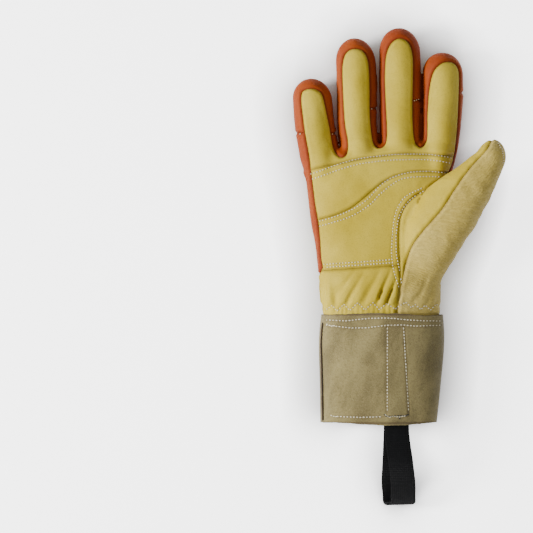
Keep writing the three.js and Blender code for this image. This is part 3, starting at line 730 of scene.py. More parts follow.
# In mm: how near a vertex counts as on the hull, a rim's points' pitch, how near a lap is, no seam near
ON_HULL = 0.04
RIM_STEP = 0.3
LAP_NEAR = 0.8
NO_SEAM = 99.0
# The least angle of an edge that ends the skin
SHARP = 0.9


def fade(distance, reach):
    """1 on a line, and less with the distance from it."""
    return math.exp(-((distance / reach) ** 2))


def in_plan(point):
    return Vector((point.x, point.y, 0))


def skin_normals(bm, hull_tree):
    """The hull's normal at every vertex that lies on it."""
    normals = {}
    for vert in bm.verts:
        _, normal, _, distance = hull_tree.find_nearest(vert.co)
        if distance is not None and distance < ON_HULL:
            normals[vert.index] = normal
    return normals


def rim_points(bm, normals):
    """Points along the edges where a panel's skin ends, each with its edge."""
    rim = []
    for edge in bm.edges:
        a, b = edge.verts
        if a.index not in normals or b.index not in normals:
            continue
        on_skin = [all(v.index in normals for v in f.verts) for f in edge.link_faces]
        if on_skin.count(False) == 1 or (len(on_skin) == 2 and edge.calc_face_angle(0) > SHARP):
            steps = max(1, int(edge.calc_length() / RIM_STEP))
            rim += [(edge, a.co.lerp(b.co, k / steps)) for k in range(steps)]
    return rim


def rim_trees(rim, laps):
    """Search trees over a panel's turned seams and over its laps, and the edges that are cut raw."""
    lines = [(plan_tree([smooth_line(SEAM_LINES[name][0], 10)]), (on_top, SEAM_LINES[name][1]))
             for name, on_top in laps]
    turned, lapped, raw_edges = [], {}, []
    for edge, point in rim:
        near = [lap for tree, lap in lines if tree.find(in_plan(point))[2] < LAP_NEAR]
        if near and point.z >= SEAM_HEIGHT[-1][1] + 2:
            raw_edges.append(edge)
            lapped.setdefault(near[-1], []).append(point)
        else:
            turned.append(point)
    return tree_of(turned) if turned else None, {k: tree_of(v) for k, v in lapped.items()}, raw_edges


def finish_panel(obj, hull_tree, sizes, row_trees):
    """Rounds a cut panel into its seams, raises its lapped edges and stores what its leather needs: its
    skin and the strength of the painted shade at its seams, laps and rows.
    """
    def change(bm):
        seam, lap, row, skin = [bm.verts.layers.float.new(name) for name in LEATHER_LAYERS]
        bmesh.ops.remove_doubles(bm, verts=bm.verts, dist=0.02)
        bmesh.ops.triangulate(bm, faces=[f for f in bm.faces if len(f.verts) > 4])
        bm.normal_update()
        bm.verts.index_update()
        normals = skin_normals(bm, hull_tree)
        turned, lapped, raw_edges = rim_trees(rim_points(bm, normals), LAPS.get(obj.name, []))
        moves = []
        for vert in [v for v in bm.verts if v.index in normals]:
            normal = normals[vert.index]
            d = turned.find(vert.co)[2] if turned else NO_SEAM
            move = -sizes.seam_depth * fade(d, TURNED["dent"])
            move += TURNED["roll"] * fade(d - TURNED["roll_at"], TURNED["roll_reach"])
            vert[seam] = fade(d, TURNED["shade"])
            for (on_top, dark), tree in lapped.items():
                d = tree.find(vert.co)[2]
                if on_top:
                    rise = sizes.lap_height * (0.4 + 0.6 * dark)
                    edge = fade(d, OVER["edge"])
                    move += rise * fade(d, OVER["rise"]) * (1 - OVER["drop"] * edge)
                    vert[lap] = max(vert[lap], OVER["shade"] * dark * edge)
                else:
                    reach = DEEP_SEAM if dark == FULL_DARK else 1.0
                    move -= UNDER["depth"] * reach * dark * fade(d, UNDER["dent"] * reach)
                    vert[lap] = max(vert[lap], dark * fade(d, UNDER["shade"] * reach))
            d = row_trees[0 if normal.z > 0 else 1].find(in_plan(vert.co))[2]
            vert[row] = fade(d, ROW["shade"])
            move -= sizes.row_depth * fade(d, ROW["dent"])
            vert[skin] = 1.0
            moves.append((vert, normal * move))
        for vert, move in moves:
            vert.co += move
            vert.co.z = max(vert.co.z, 0.0)
        bmesh.ops.recalc_face_normals(bm, faces=bm.faces)
        for face in bm.faces:
            face.smooth = True
        for edge in raw_edges:
            edge.smooth = False

    return reworked(obj, change)


class Socket:
    """One output in a material's node tree, with its maths as Python operators."""

    def __init__(self, tree, output):
        self.tree = tree
        self.output = output

    def math(self, operation, *others, clamp=False):
        """A Math node of this socket and the others."""
        node = self.tree.nodes.new("ShaderNodeMath")
        node.operation = operation
        node.use_clamp = clamp
        for slot, value in zip(node.inputs, (self,) + others):
            fill(self.tree, slot, value)
        return Socket(self.tree, node.outputs[0])

    def __add__(self, other):
        return self.math("ADD", other)

    def __sub__(self, other):
        return self.math("SUBTRACT", other)

    def __mul__(self, other):
        return self.math("MULTIPLY", other)

    def __pow__(self, other):
        return self.math("POWER", other)

    def clamped(self):
        return self.math("ADD", 0.0, clamp=True)

    def between(self, low, high, start=0.0, end=1.0):
        """This value's run from low to high, turned smoothly into start to end."""
        node = self.tree.nodes.new("ShaderNodeMapRange")
        node.interpolation_type = "SMOOTHSTEP"
        for name, value in (("Value", self), ("From Min", low), ("From Max", high), ("To Min", start),
                            ("To Max", end)):
            fill(self.tree, node.inputs[name], value)
        return Socket(self.tree, node.outputs["Result"])


def fill(tree, slot, value):
    """Links a socket, or sets a constant."""
    if isinstance(value, Socket):
        tree.links.new(value.output, slot)
    else:
        slot.default_value = value


def rgb(red, green, blue):
    """A colour as the eye sees it on screen, from 0 to 255, in the shader's linear units."""
    def linear(value):
        value = value / 255
        return value / 12.92 if value <= 0.04045 else ((value + 0.055) / 1.055) ** 2.4
    return (linear(red), linear(green), linear(blue), 1.0)


# Where a Mix node keeps the factor, colours and result of its colour mode
MIX_INPUTS = (0, 6, 7)
MIX_OUTPUT = 2


class Shader:
    """A material that is being built round one Principled shader."""

    def __init__(self, name):
        self.material = bpy.data.materials.new(name)
        self.material.use_nodes = True
        self.tree = self.material.node_tree
        self.surface = self.tree.nodes["Principled BSDF"]
        self.place = self.node("ShaderNodeTexCoord", "Object")

    def node(self, kind, out, props=None, **inputs):
        """One output of a new node of any kind."""
        made = self.tree.nodes.new(kind)
        for name, value in (props or {}).items():
            setattr(made, name, value)
        for name, value in inputs.items():
            fill(self.tree, made.inputs[name.replace("_", " ")], value)
        return Socket(self.tree, made.outputs[out])

    def attribute(self, name):
        return self.node("ShaderNodeAttribute", "Fac", {"attribute_name": name})

    def placed(self, scale=(1, 1, 1), turn=(0, 0, 0), source=None):
        """Object coordinates, turned and then stretched."""
        turned = self.node("ShaderNodeMapping", "Vector", Vector=source or self.place, Rotation=turn)
        return self.node("ShaderNodeMapping", "Vector", Vector=turned, Scale=scale)

    def bent(self, middle, slope, change):
        """Object coordinates sheared so that lines along x lean by a slope that changes with y."""
        x, y, z = [self.node("ShaderNodeSeparateXYZ", axis, Vector=self.place) for axis in "XYZ"]
        y = y + (x - middle) * (y * change + slope)
        return self.node("ShaderNodeCombineXYZ", "Vector", X=x, Y=y, Z=z)

    def noise(self, scale, detail=2.0, rough=0.5, vector=None, distortion=0.0):
        """Noise by its lumps to the metre, its detail and its roughness."""
        return self.node("ShaderNodeTexNoise", "Fac", Vector=vector or self.place, Scale=scale,
                         Detail=detail, Roughness=rough, Distortion=distortion)

    def cells(self, scale):
        return self.node("ShaderNodeTexVoronoi", "Distance", Vector=self.place, Scale=scale)

    def blended(self, factor, a, b):
        """A Mix of two colours."""
        made = self.tree.nodes.new("ShaderNodeMix")
        made.data_type = "RGBA"
        for slot, value in zip(MIX_INPUTS, (factor, a, b)):
            fill(self.tree, made.inputs[slot], value)
        return Socket(self.tree, made.outputs[MIX_OUTPUT])

    def bump(self, height, strength, distance, **below):
        return self.node("ShaderNodeBump", "Normal", Strength=strength, Distance=distance, Height=height,
                         **below)

    def done(self, **inputs):
        """Fills the Principled shader's inputs and returns the material."""
        for name, value in inputs.items():
            fill(self.tree, self.surface.inputs[name.replace("_", " ")], value)
        return self.material


def leather(name, colours, grain=0.5, wrinkle=0.0, wear=0.5, sheen=0.06):
    """Smooth or grained glove leather with pores, soft blotches, painted shade along its seams, laps and
    stitched rows, painted shade and highlight on its creases, and a cut edge.
    """
    main, light, dark, inside = [rgb(*colour) for colour in colours]
    s = Shader(name)
    seam, lap, row, skin = [s.attribute(name) for name in LEATHER_LAYERS]
    cloud = s.noise(26, 3, 0.55)
    speck = s.noise(1500, 2, 0.6)
    pores = s.cells(900)
    tone = s.blended(cloud.between(0.35, 0.68), main, light)
    tone = s.blended(speck.between(0.5, 0.74, 0, 0.35), tone, dark)
    tone = s.blended(s.noise(75, 4, 0.6).between(0.55, 0.75, 0, 0.3 * wear), tone, light)
    # Painted shade: darker along turned seams, lap edges and stitched rows
    shade = (seam * 0.46 + lap * 0.8 + row * 0.1).clamped()
    tone = s.blended(shade, tone, dark)
    tone = s.blended(skin.between(0.35, 0.6), inside, tone)
    lines = s.placed((140, 560, 150), source=s.bent(0.055, 0.146, -10.8))
    creases = (s.noise(1.0, 1.5, 0.5, lines, 0.4) - 0.5).math("ABSOLUTE").between(0.0, 0.13)
    height = pores * (0.35 * grain) + speck * (0.25 * grain) + creases * (0.75 * wrinkle)
    fine = s.bump(height, 0.55, 0.0004)
    soft = s.bump(s.noise(95, 3, 0.5), 0.35, 0.0016, Normal=fine)
    if wrinkle:
        # Painted shade in the crease lines, and a painted highlight on the leather between them
        tone = s.blended(creases.between(0.0, 0.5, 0.14 * wrinkle, 0), tone, dark)
        tone = s.blended(creases.between(0.6, 1.0, 0, 0.2 * wrinkle), tone, light)
    rough = speck.between(0.3, 0.7, 0.6, 0.76) + seam * 0.08
    return s.done(Base_Color=tone, Roughness=rough, Normal=soft, Sheen_Weight=sheen,
                  Specular_IOR_Level=0.2 + sheen)


def suede():
    """Napped split leather: mottled, fuzzy, with brushed lighter and darker patches."""
    s = Shader("suede")
    raw_and_shade = s.attribute("raw_and_shade")
    nap = s.noise(640, 4, 0.7)
    fuzz = s.noise(1900, 3, 0.7)
    brushed = s.noise(1.0, 4, 0.62, s.placed((34, 16, 30), (0, 0, math.radians(20))))
    tone = s.blended(brushed.between(0.32, 0.68), rgb(98, 86, 47), rgb(146, 132, 82))
    tone = s.blended(nap.between(0.45, 0.72, 0, 0.5), tone, rgb(80, 66, 30))
    tone = s.blended(fuzz.between(0.45, 0.75, 0, 0.6), tone, rgb(172, 158, 108))
    # Darker at the suede's ends and left edge, with painted shade along its stitches and painted shadow
    # beside its strip
    tone = s.blended(raw_and_shade.clamped(), tone, rgb(66, 46, 22))
    rough = nap.between(0.2, 0.8, 0.86, 0.98)
    normal = s.bump(nap + fuzz * 0.6, 0.6, 0.0007)
    return s.done(Base_Color=tone, Roughness=rough, Normal=normal, Sheen_Weight=0.3,
                  Sheen_Roughness=0.6, Specular_IOR_Level=0.15)


def webbing(name, main, light, ribs):
    """Woven tape: ribs across it and threads along it, so many to the millimetre."""
    main, light = rgb(*main), rgb(*light)
    s = Shader(name)
    flat = s.node("ShaderNodeTexCoord", "UV")
    across, along = [s.node("ShaderNodeSeparateXYZ", axis, Vector=flat) * ribs for axis in "XY"]
    weft = (along * math.tau).math("SINE")
    warp = (across * (math.tau * 0.75)).math("SINE")
    weave = weft * 0.6 + warp * weft * 0.4
    lint = s.noise(900, 3, 0.65)
    tone = s.blended(weave.between(-0.4, 0.9), main, light)
    tone = s.blended(lint.between(0.55, 0.8, 0, 0.35), tone, light)
    normal = s.bump(weave + lint * 0.4, 0.5, 0.0004)
    return s.done(Base_Color=tone, Roughness=lint.between(0.2, 0.8, 0.72, 0.9), Normal=normal,
                  Sheen_Weight=0.04, Specular_IOR_Level=0.12)


def thread(name, light, dark):
    """Twisted sewing thread."""
    s = Shader(name)
    twist = s.noise(2600, 2, 0.5)
    tone = s.blended(twist.between(0.35, 0.65), rgb(*dark), rgb(*light))
    normal = s.bump(twist, 0.3, 0.0001)
    return s.done(Base_Color=tone, Roughness=twist.between(0.2, 0.8, 0.55, 0.75), Normal=normal)


# What the operators share: the shell, its regions, search trees, materials and finished skins
SHARED = {}


# Columns and rows of each hull's grid, and the hollow's voxel size in mm and smoothing rounds
HULL_GRIDS = {"hand": (96, 70), "thumb": (48, 56), "finger": (44, 56)}
HOLLOW_GRIDS = {"hand": (48, 36), "thumb": (28, 28), "finger": (24, 28)}
HOLLOW_SKIN = (2.2, 2)
# How far the thumb's zone stands off its hull
THUMB_CLEAR = 0.9


def closed_skin(inset, grids, voxel, rounds):
    """The hand, the thumb and the fingers as one skin, moved inwards by an inset."""
    parts = [hand_hull(inset, *grids["hand"]), thumb_hull(inset, *grids["thumb"])]
    parts += [finger_hull(finger, inset, *grids["finger"]) for finger in FINGERS]
    return remeshed(merged(parts, "skin"), voxel, rounds)


def leather_shell(sizes):
    """The shell that every leather panel is cut from, and a search tree over its outside."""
    if "shell" not in SHARED:
        hull = closed_skin(0, HULL_GRIDS, sizes.skin_step, sizes.skin_smoothing)
        smoothed(hull, EASED["rounds"], on_flat_side)
        moved_out(hull, LeatherField(sizes))
        inner = closed_skin(sizes.wall, HOLLOW_GRIDS, *HOLLOW_SKIN)
        SHARED["shell"] = carved(hull, inner, "DIFFERENCE", "shell")
        SHARED["tree"] = BVHTree.FromObject(hull, bpy.context.evaluated_depsgraph_get())
        bpy.data.objects.remove(inner)
        bpy.data.objects.remove(hull)
    return SHARED["shell"], SHARED["tree"]


def leather_regions(sizes):
    """The shell split into palm side, back side, thumb and the orange band."""
    if "regions" in SHARED:
        return SHARED["regions"]
    shell, _ = leather_shell(sizes)
    half = sizes.gap / 2
    palm_edge = [tuple(p) for p in smooth_line(PALM_EDGE, 4)]
    outlines = {
        "palm": [(-80, -FAR)] + PALM_LEFT + palm_edge + PALM_RIGHT + [(80, -FAR)],
        "back": hand_outline(BACK_FINGERS, BACK_LEFT, BACK_RIGHT),
    }

    def zone(side, grow):
        """All that lies inside a side's outline, above or below the side seam's height."""
        above = side == "palm"
        heights = height_side(SEAM_HEIGHT, "yz", above, -grow if above else grow)
        return carved(prism(grown(outlines[side], grow)), heights, "INTERSECT", side + "_zone")

    ball_zone = carved(zone("palm", -half), thumb_side(BASE_SEAM, half), "INTERSECT", "ball_zone")
    around_thumb = thumb_hull(-THUMB_CLEAR, *HULL_GRIDS["thumb"])
    thumb_zone = carved(around_thumb, ball_zone, "UNION", "thumb_zone")
    beside_thumb = carved(shell, thumb_zone, "DIFFERENCE", "beside_thumb")
    palm = carved(beside_thumb, zone("palm", -half), "INTERSECT", "palm")
    band = carved(beside_thumb, zone("palm", half), "DIFFERENCE", "band")
    SHARED["regions"] = {
        "palm": carved(palm, thumb_side(BASE_SEAM, -half), "DIFFERENCE", "palm_side"),
        "back": carved(beside_thumb, zone("back", -half), "INTERSECT", "back_side"),
        "band": carved(band, zone("back", half), "DIFFERENCE", "orange_band"),
        "thumb": carved(shell, thumb_zone, "INTERSECT", "thumb"),
    }
    return SHARED["regions"]


def stitch_rows():
    """Search trees in plan over the stitched rows of the palm side and of the back."""
    if "rows" not in SHARED:
        SHARED["rows"] = (plan_tree(PALM_ROWS), plan_tree(BACK_ROWS))
    return SHARED["rows"]


def slivers_deleted(bm):
    """Keeps the biggest body of a cut panel, without the slivers that a cut can leave."""
    seen = set()
    groups = []
    for start in bm.verts:
        if start.index in seen:
            continue
        group, front = [], [start]
        seen.add(start.index)
        while front:
            vert = front.pop()
            group.append(vert)
            for edge in vert.link_edges:
                other = edge.other_vert(vert)
                if other.index not in seen:
                    seen.add(other.index)
                    front.append(other)
        groups.append(group)
    groups.sort(key=len)
    bmesh.ops.delete(bm, geom=[v for group in groups[:-1] for v in group], context="VERTS")


def keep_skin(obj):
    """Keeps a finished piece's vertices and faces in mm, to lay stitches on."""
    verts, faces = SHARED.setdefault("skins", ([], []))
    faces += [tuple(i + len(verts) for i in p.vertices) for p in obj.data.polygons]
    verts += [tuple(v.co) for v in obj.data.vertices]


def hand_over(obj, material, slot=None, node=None, name=None):
    """Scales a finished piece to metres, gives it its material and name, hangs it on the root body and
    hides the CAD node that it stands for.
    """
    obj.data.transform(Matrix.Scale(MM, 4))
    obj.data.materials.clear()
    obj.data.materials.append(material_of(material))
    if name:
        obj.name = obj.data.name = name
    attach(obj, "root")
    if node:
        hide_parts(node)


def leather_panel(piece, node, material, slot, sizes):
    """Finishes one cut panel and keeps its skin for the stitches."""
    reworked(piece, slivers_deleted)
    piece.name = node
    finish_panel(piece, leather_shell(sizes)[1], sizes, stitch_rows())
    keep_skin(piece)
    hand_over(piece, material, slot, node, node + "_leather")


# Colours of each leather: main, light, dark and inside; dark also colours the painted shade at seams and
# creases, and light the painted highlight on creases
YELLOW = ((187, 163, 36), (203, 180, 56), (90, 69, 16), (150, 124, 50))
TAN = ((190, 166, 76), (205, 182, 96), (92, 68, 22), (150, 124, 50))
ORANGE = ((142, 54, 5), (158, 68, 8), (56, 12, 4), (110, 44, 16))
MATERIALS = {
    "yellow": lambda: leather("yellow_leather", YELLOW, grain=0.5, sheen=0.03),
    "pebbled": lambda: leather("pebbled_leather", YELLOW, grain=1.0, wrinkle=0.5, sheen=0.03),
    "grained": lambda: leather("grained_leather", TAN, grain=0.7, wrinkle=1.0),
    "orange": lambda: leather("orange_leather", ORANGE, grain=0.35, wear=0.3, sheen=0.0),
    "suede": suede,
    "black_web": lambda: webbing("black_webbing", (2, 2, 3), (9, 10, 12), 0.9),
    "label_web": lambda: webbing("label_band", (18, 18, 20), (48, 48, 52), 1.1),
    "patch": lambda: webbing("label_cloth", (206, 84, 50), (226, 112, 74), 1.6),
    "cream": lambda: thread("cream_thread", (240, 234, 210), (206, 196, 156)),
    # Needle holes: darker beads that paint the shade inside each hole
    "hole": lambda: thread("needle_holes", (128, 102, 44), (104, 82, 34)),
    "dark": lambda: thread("dark_thread", (62, 56, 48), (26, 24, 22)),
}


def material_of(kind):
    """The glove's materials by kind, each made once."""
    made = SHARED.setdefault("materials", {})
    if kind not in made:
        made[kind] = MATERIALS[kind]()
    return made[kind]


# Stitched rows of the palm side in plan
UPPER_ROW = [(-57.3, 49.9), (-49.8, 52.3), (-34.2, 57.8), (-19.3, 61.8), (-4.3, 63.8), (3.5, 64.5),
             (15.3, 65.0), (30, 65.0), (39.8, 64.1), (51.5, 62.1)]
CURVED_ROW = [(-50.6, 14.1), (-38.5, 17.6), (-26.3, 22.5), (-13.8, 30.6), (-3.8, 41.3), (5.9, 47.6),
              (15.6, 50.7), (25.3, 51.9), (35, 51.9), (48.6, 50.8)]
CURVED_ROW_LOW = [(-50.6, 10.2), (-38.5, 13.7), (-24.5, 18.6), (-11.5, 27.0), (-3.8, 35), (5.9, 42.7),
                  (13.7, 46.6), (25.3, 48), (39.8, 48), (46.5, 47.2)]
LOWER_ROW = [(-47.5, -18.5), (-21, -16.8), (4.9, -14.9)]
BASE_ROW = [(29.6, 37.4), (22.6, 33.3), (16.6, 28.2), (10.7, 18.5), (8.3, 5.9), (8.1, -5.8),
            (8.8, -14.4), (11.0, -25.0), (12.2, -33.5)]
BASE_ROW_OUT = [(28.2, 39.6), (15.6, 33.1), (9.8, 25.3), (6.8, 15.6), (5.4, 4), (4.7, -9.7),
                (5.4, -18.3), (6.8, -25.2), (10.7, -38.3)]
WRIST_ZIGZAG = [
    (-47.0, -52.0), (-45.4, -53.4), (-40.3, -49.4), (-36.7, -53.9), (-31.4, -48.6), (-27.0, -53.4),
    (-20.9, -47.4), (-15.6, -53.0), (-9.5, -47.4), (-4.6, -52.8), (0.95, -47.8), (7.2, -52.4),
    (10.6, -49.9), (15.2, -47.0), (19.6, -51.3), (22.4, -48.8), (26.8, -52.8), (30.0, -49.4),
    (34.2, -53.2), (38.6, -48.4), (41.6, -51.6),
]


def lowered(line, drop):
    """A row beside another one, moved square to its run."""
    line = smooth_line(line)
    along = np.gradient(line, axis=0)
    along /= np.linalg.norm(along, axis=1, keepdims=True)
    return line + np.column_stack([along[:, 1], -along[:, 0]]) * drop


# Short rows across the orange strips, and one round the thumb's tip
CROSS_ROWS = [
    [(-68.6, 80.1), (-62.4, 80.9)], [(-40.9, 80.2), (-36.0, 81.4)], [(-11.0, 99.2), (-5.8, 101.2)],
    [(21.4, 105.4), (26.2, 107.4)], [(57.4, 110.8), (60.0, 111.4)],
    [(84.6, 73.6), (87.6, 68.5), (88.9, 62.5), (88.4, 56.0)],
]
PALM_ROWS = [
    smooth_line(UPPER_ROW), lowered(UPPER_ROW, 4.0), smooth_line(CURVED_ROW),
    smooth_line(CURVED_ROW_LOW), smooth_line(LOWER_ROW), lowered(LOWER_ROW, 2.3),
    smooth_line(BASE_ROW), smooth_line(BASE_ROW_OUT), WRIST_ZIGZAG,
]


def zigzag(left, right, y, pitch=9.9, height=5):
    """A row that turns up and down between two sides."""
    count = int((right - left) / (pitch / 2))
    return [(left + k * pitch / 2, y + (height / 2 if k % 2 else -height / 2)) for k in range(count + 1)]


LENS_ROW = grown(lens_outline(), 2.6)
THUMB_BACK_ROWS = [[(41, -9), (55, 8), (72, 26), (88, 44)], [(34, 8), (46, 26), (60, 44), (76, 62)]]
BACK_ROWS = [LENS_ROW + LENS_ROW[:1], zigzag(-43, 34, -8), zigzag(-44, 38, -50)]

# Stitched rows on the cuff: two at the wrist, two up its strip, whose right side leans, and one low
CUFF_STITCH_ROWS = [
    [(-45.6, -60.6), (-30, -61.2), (-12, -59.2), (2, -59.0), (16, -60.4), (30, -61.2), (43.2, -61.4)],
    [(-45.6, -64.4), (-28, -66.4), (-16, -66.6), (0.6, -64.6), (7, -64.4), (13.4, -64.3), (22, -65.2),
     (43.2, -64.6)],
    [(1.3, -65.8), (1.3, -131.2)], [(13.5, -65.8), (17.5, -131.6)],
    [(-37.4, -133.6), (-20, -134.2), (-1.4, -133.7)],
]
# Rows sewn over again where a row starts or ends, and the dark bar tack below the strip
TACK_ROWS = [
    [(-41.8, -132.6), (-38, -133.9), (-35.4, -133.2)],
    [(-0.8, -131.8), (2.4, -134.0), (5.6, -133.2), (9.6, -133.9), (15.8, -133.1)],
    [(-45, -63.6), (-41, -65.3), (-36, -64.4)],
]
BAR_TACK_ROWS = [
    [(-0.6, -133.4), (17.2, -132.6)], [(-1.6, -131.6), (2.6, -134.4)], [(9.5, -134.4), (13.5, -136.0)],
    [(14.0, -133.9), (18.0, -131.6)],
]
# Pitch and length of the stitches in rows that aren't sewn like the leather
CROSS_STITCH = (1.7, 1.1)
CUFF_STITCH = (2.45, 1.7)
TACK_STITCH = (1.9, 1.7)
BAR_TACK_STITCH = (2.2, 1.9)


# One stitch in mm: its lift off the skin and height, and how much its place, angle and length vary
STITCH = {"lift": 0.16, "height": 0.7, "drift": 0.12, "turn": 0.16, "stretch": 0.15, "jitter_pitch": 0.9,
          "shortest": 0.2, "longest": 1.8}
# Each needle hole: a darker bead that paints the shade in the hole, how far it is sunk, and its length,
# width and height
HOLE = {"sunk": 0.02, "size": (0.55, 0.5, 0.16)}
RAY_START = 120.0
BATCH = 16


class Beads:
    """Many small stretched beads, gathered in batches because a small mesh grows faster."""

    def __init__(self):
        self.whole = bmesh.new()
        self.batch = bmesh.new()
        self.count = 0

    def add(self, place, along, normal, length, width, height):
        """One thread stitch: a stretched bead laid along a row."""
        across = normal.cross(along).normalized()
        lie = Matrix((along, across, normal)).transposed().to_4x4()
        size = Matrix.Diagonal((length / 2, width / 2, height / 2, 1))
        bmesh.ops.create_uvsphere(self.batch, u_segments=8, v_segments=5, radius=1.0,
                                  matrix=Matrix.Translation(place) @ lie @ size)
        self.count += 1
        if self.count % BATCH == 0:
            self.flush()

    def flush(self):
        mesh = bpy.data.meshes.new("batch")
        self.batch.to_mesh(mesh)
        self.whole.from_mesh(mesh)
        bpy.data.meshes.remove(mesh)
        self.batch.clear()

    def object(self, name):
        self.flush()
        self.batch.free()
        return new_object(name, self.whole)


def stitched(beads, tree, rows, from_above, width, pitch, length):
    """Lays stitches along rows in plan onto the skin that a ray meets, and returns the holes between."""
    down = Vector((0, 0, -1 if from_above else 1))
    holes = []
    for row in rows:
        hits = []
        for x, y in line_points(row, pitch / 2):
            place, normal, _, _ = tree.ray_cast(Vector((x, y, 0)) - down * RAY_START, down)
            if place is not None and normal.z * down.z > 0:
                normal = -normal
            hits.append((place, normal))
        for (before, facing), (place, normal), (after, _) in zip(hits[:-2:2], hits[1:-1:2], hits[2::2]):
            if before is None or place is None or after is None:
                continue
            along = after - before
            if not STITCH["shortest"] <= along.length <= pitch * STITCH["longest"]:
                continue
            along.normalize()
            normal = (normal - along * normal.dot(along)).normalized()
            jitter = noise.noise(place * STITCH["jitter_pitch"])
            side = normal.cross(along) * (STITCH["drift"] * jitter)
            turn = Matrix.Rotation(STITCH["turn"] * jitter, 3, normal)
            beads.add(place + normal * STITCH["lift"] + side, turn @ along, normal,
                      length * (1 + STITCH["stretch"] * jitter), width, STITCH["height"])
            holes.append((before, facing, along))
    return holes


# The cuff's ends with their bulges, each a height, a share of the way round and a reach
MOUTH_Y = -138.2
MOUTH_BULGES = [(-2.2, 0.21, 0.1)]
WRIST_Y = -56.6
WRIST_BULGES = [(1.3, 0.26, 0.09), (-0.9, 0.09, 0.05)]
# Folds near its wrist end, each a height, an x, a reach, a y and a reach
CUFF_FOLDS = [(1.5, -30, 6, -73, 14), (-1.1, -38, 5, -76, 13)]
# Heights in mm of the waves of its ends, the raggedness of their cut and the lumps of the suede
CUFF_WAVE = {"mouth": 0.7, "wrist": 0.5, "ragged": 0.22, "broad": 1.5, "fine": 0.35, "under": 0.5,
             "lip": 0.5, "lip_reach": 3.0}
# How high its sides are, and from where to where along -y it gets its own section
CUFF_SIDE = 22
CUFF_FREE = (66, 92)
CUFF_GRID = (220, 130)
# The suede's dent along a stitched row, and how dark it is at its ends, with painted shade along its
# rows and painted shadow beside its strip's sides: share, reach
ROW_DENT = (0.45, 1.1)
RAW_END = (0.75, 0.9)
SUEDE_ROW_SHADE = (0.3, 0.9)
STRIP_SHADOW = (0.12, 0.7)


def round_noise(turn, radius, height, pitch=1.0):
    """Noise that closes on itself round the cuff."""
    circle = Vector((math.cos(turn) * radius, math.sin(turn) * radius, 0.0)) * pitch
    return noise.noise(circle + Vector((0, 0, height)))


def cuff_point(u, v):
    """A point on the suede tube: u goes round it and v runs from its mouth to the wrist."""
    turn = 2 * math.pi * u
    wave = CUFF_WAVE
    low = sum((size * bell(u, at, reach) for size, at, reach in MOUTH_BULGES), MOUTH_Y)
    low += wave["mouth"] * round_noise(turn, 3.1, 2)
    high = sum((size * bell(u, at, reach) for size, at, reach in WRIST_BULGES), WRIST_Y)
    high += wave["wrist"] * round_noise(turn, 3.1, 8, 1.7)
    ragged = wave["ragged"] * round_noise(turn, 21, 1)
    y = low + (high - low) * v + ragged * (1 - math.sin(math.pi * v))
    left, right, under, side, top = CUFF_CURVE(y)
    free = step_up(-y, *CUFF_FREE)
    roof = SECTION["top"] + (SECTION["cuff_top"] - SECTION["top"]) * free
    p = section_point(u, left, right, under, side, top, 0, y, roof, SECTION["cuff_lean"] * free)
    across = noise.noise(Vector((p.x * 0.042, y * 0.016, p.z * 0.03)))
    fine = noise.noise(Vector((p.x * 0.11, y * 0.075, 5.0)))
    folds = sum(size * bell(p.x, x, reach_x) * bell(y, at, reach)
                for size, x, reach_x, at, reach in CUFF_FOLDS)
    if u < 0.5:
        p.z += wave["broad"] * across + wave["fine"] * fine + folds
        p.z += wave["lip"] * bell(y, high, wave["lip_reach"])
    else:
        p.z = max(p.z + wave["under"] * across, CUFF_FLOOR)
    return p


def outward(obj):
    """Turns every face out and shades the piece smooth."""
    reworked(obj, lambda bm: bmesh.ops.recalc_face_normals(bm, faces=bm.faces))
    obj.data.shade_smooth()
    return obj


def thickened(obj, thickness, offset=-1.0):
    """Gives an open sheet its thickness, by default all on its inner side."""
    wall = obj.modifiers.new("wall", "SOLIDIFY")
    wall.thickness = thickness
    wall.offset = offset
    return outward(applied(obj))


def store(obj, name, value_at):
    """Stores one number per vertex for the piece's material."""
    layer = obj.data.attributes.new(name, "FLOAT", "POINT")
    layer.data.foreach_set("value", [value_at(v.co) for v in obj.data.vertices])


def on_cuff(x, y, from_above):
    """Where the cuff is at a place in plan, on its front or on its back."""
    down = Vector((0, 0, -1 if from_above else 1))
    return SHARED["cuff_tree"].ray_cast(Vector((x, y, 0)) - down * RAY_START, down)[0]


def strip_piece(sizes):
    """The lapped ends of the suede: a raised strip up the front of the cuff."""
    (x0, y0), (x1, _), (x2, y2), (x3, _) = CUFF_STRIP

    def place(u, v):
        y = y0 + (y2 - y0) * v
        left = x0 + (x3 - x0) * v
        right = x1 + (x2 - x1) * v
        x = left + (right - left) * u
        rim = min(min(u, 1 - u) * (right - left), min(v, 1 - v) * (y2 - y0))
        rise = sizes.strip_lift * step_up(rim, 0, STRIP_RIM) - STRIP_SUNK
        return Vector((x, y, on_cuff(x, y, True).z + rise))

    return thickened(placed_grid("cuff_strip", 36, 140, place, wraps=False), STRIP_WALL)


def edge_binding():
    """The dark raw edge of the suede along the little finger's side."""
    def place(u, v):
        start, end = EDGE["run"]
        y = start + (end - start) * v
        left, _, _, side, _ = CUFF_CURVE(y)
        wave = sum(size * noise.noise(Vector((x, y * pitch, 1))) for size, x, pitch in EDGE["waves"])
        turn = 2 * math.pi * u
        thin = EDGE["thin_end"]
        taper = thin + (1 - thin) * step_up(min(v, 1 - v), 0, EDGE["end_share"])
        x = left + EDGE["inward"] + EDGE["wave"] * wave + EDGE["half_width"] * taper * math.cos(turn)
        return Vector((x, y, side + EDGE["above_side"] + EDGE["half_height"] * taper * math.sin(turn)))

    return placed_grid("cuff_edge", 20, 190, place)


def weave_laid(obj, uv_of):
    """Gives each corner the weave coordinates of its vertex, in mm."""
    layer = obj.data.uv_layers.new(name="weave")
    for corner in obj.data.loops:
        layer.data[corner.index].uv = uv_of(obj.data.vertices[corner.vertex_index])


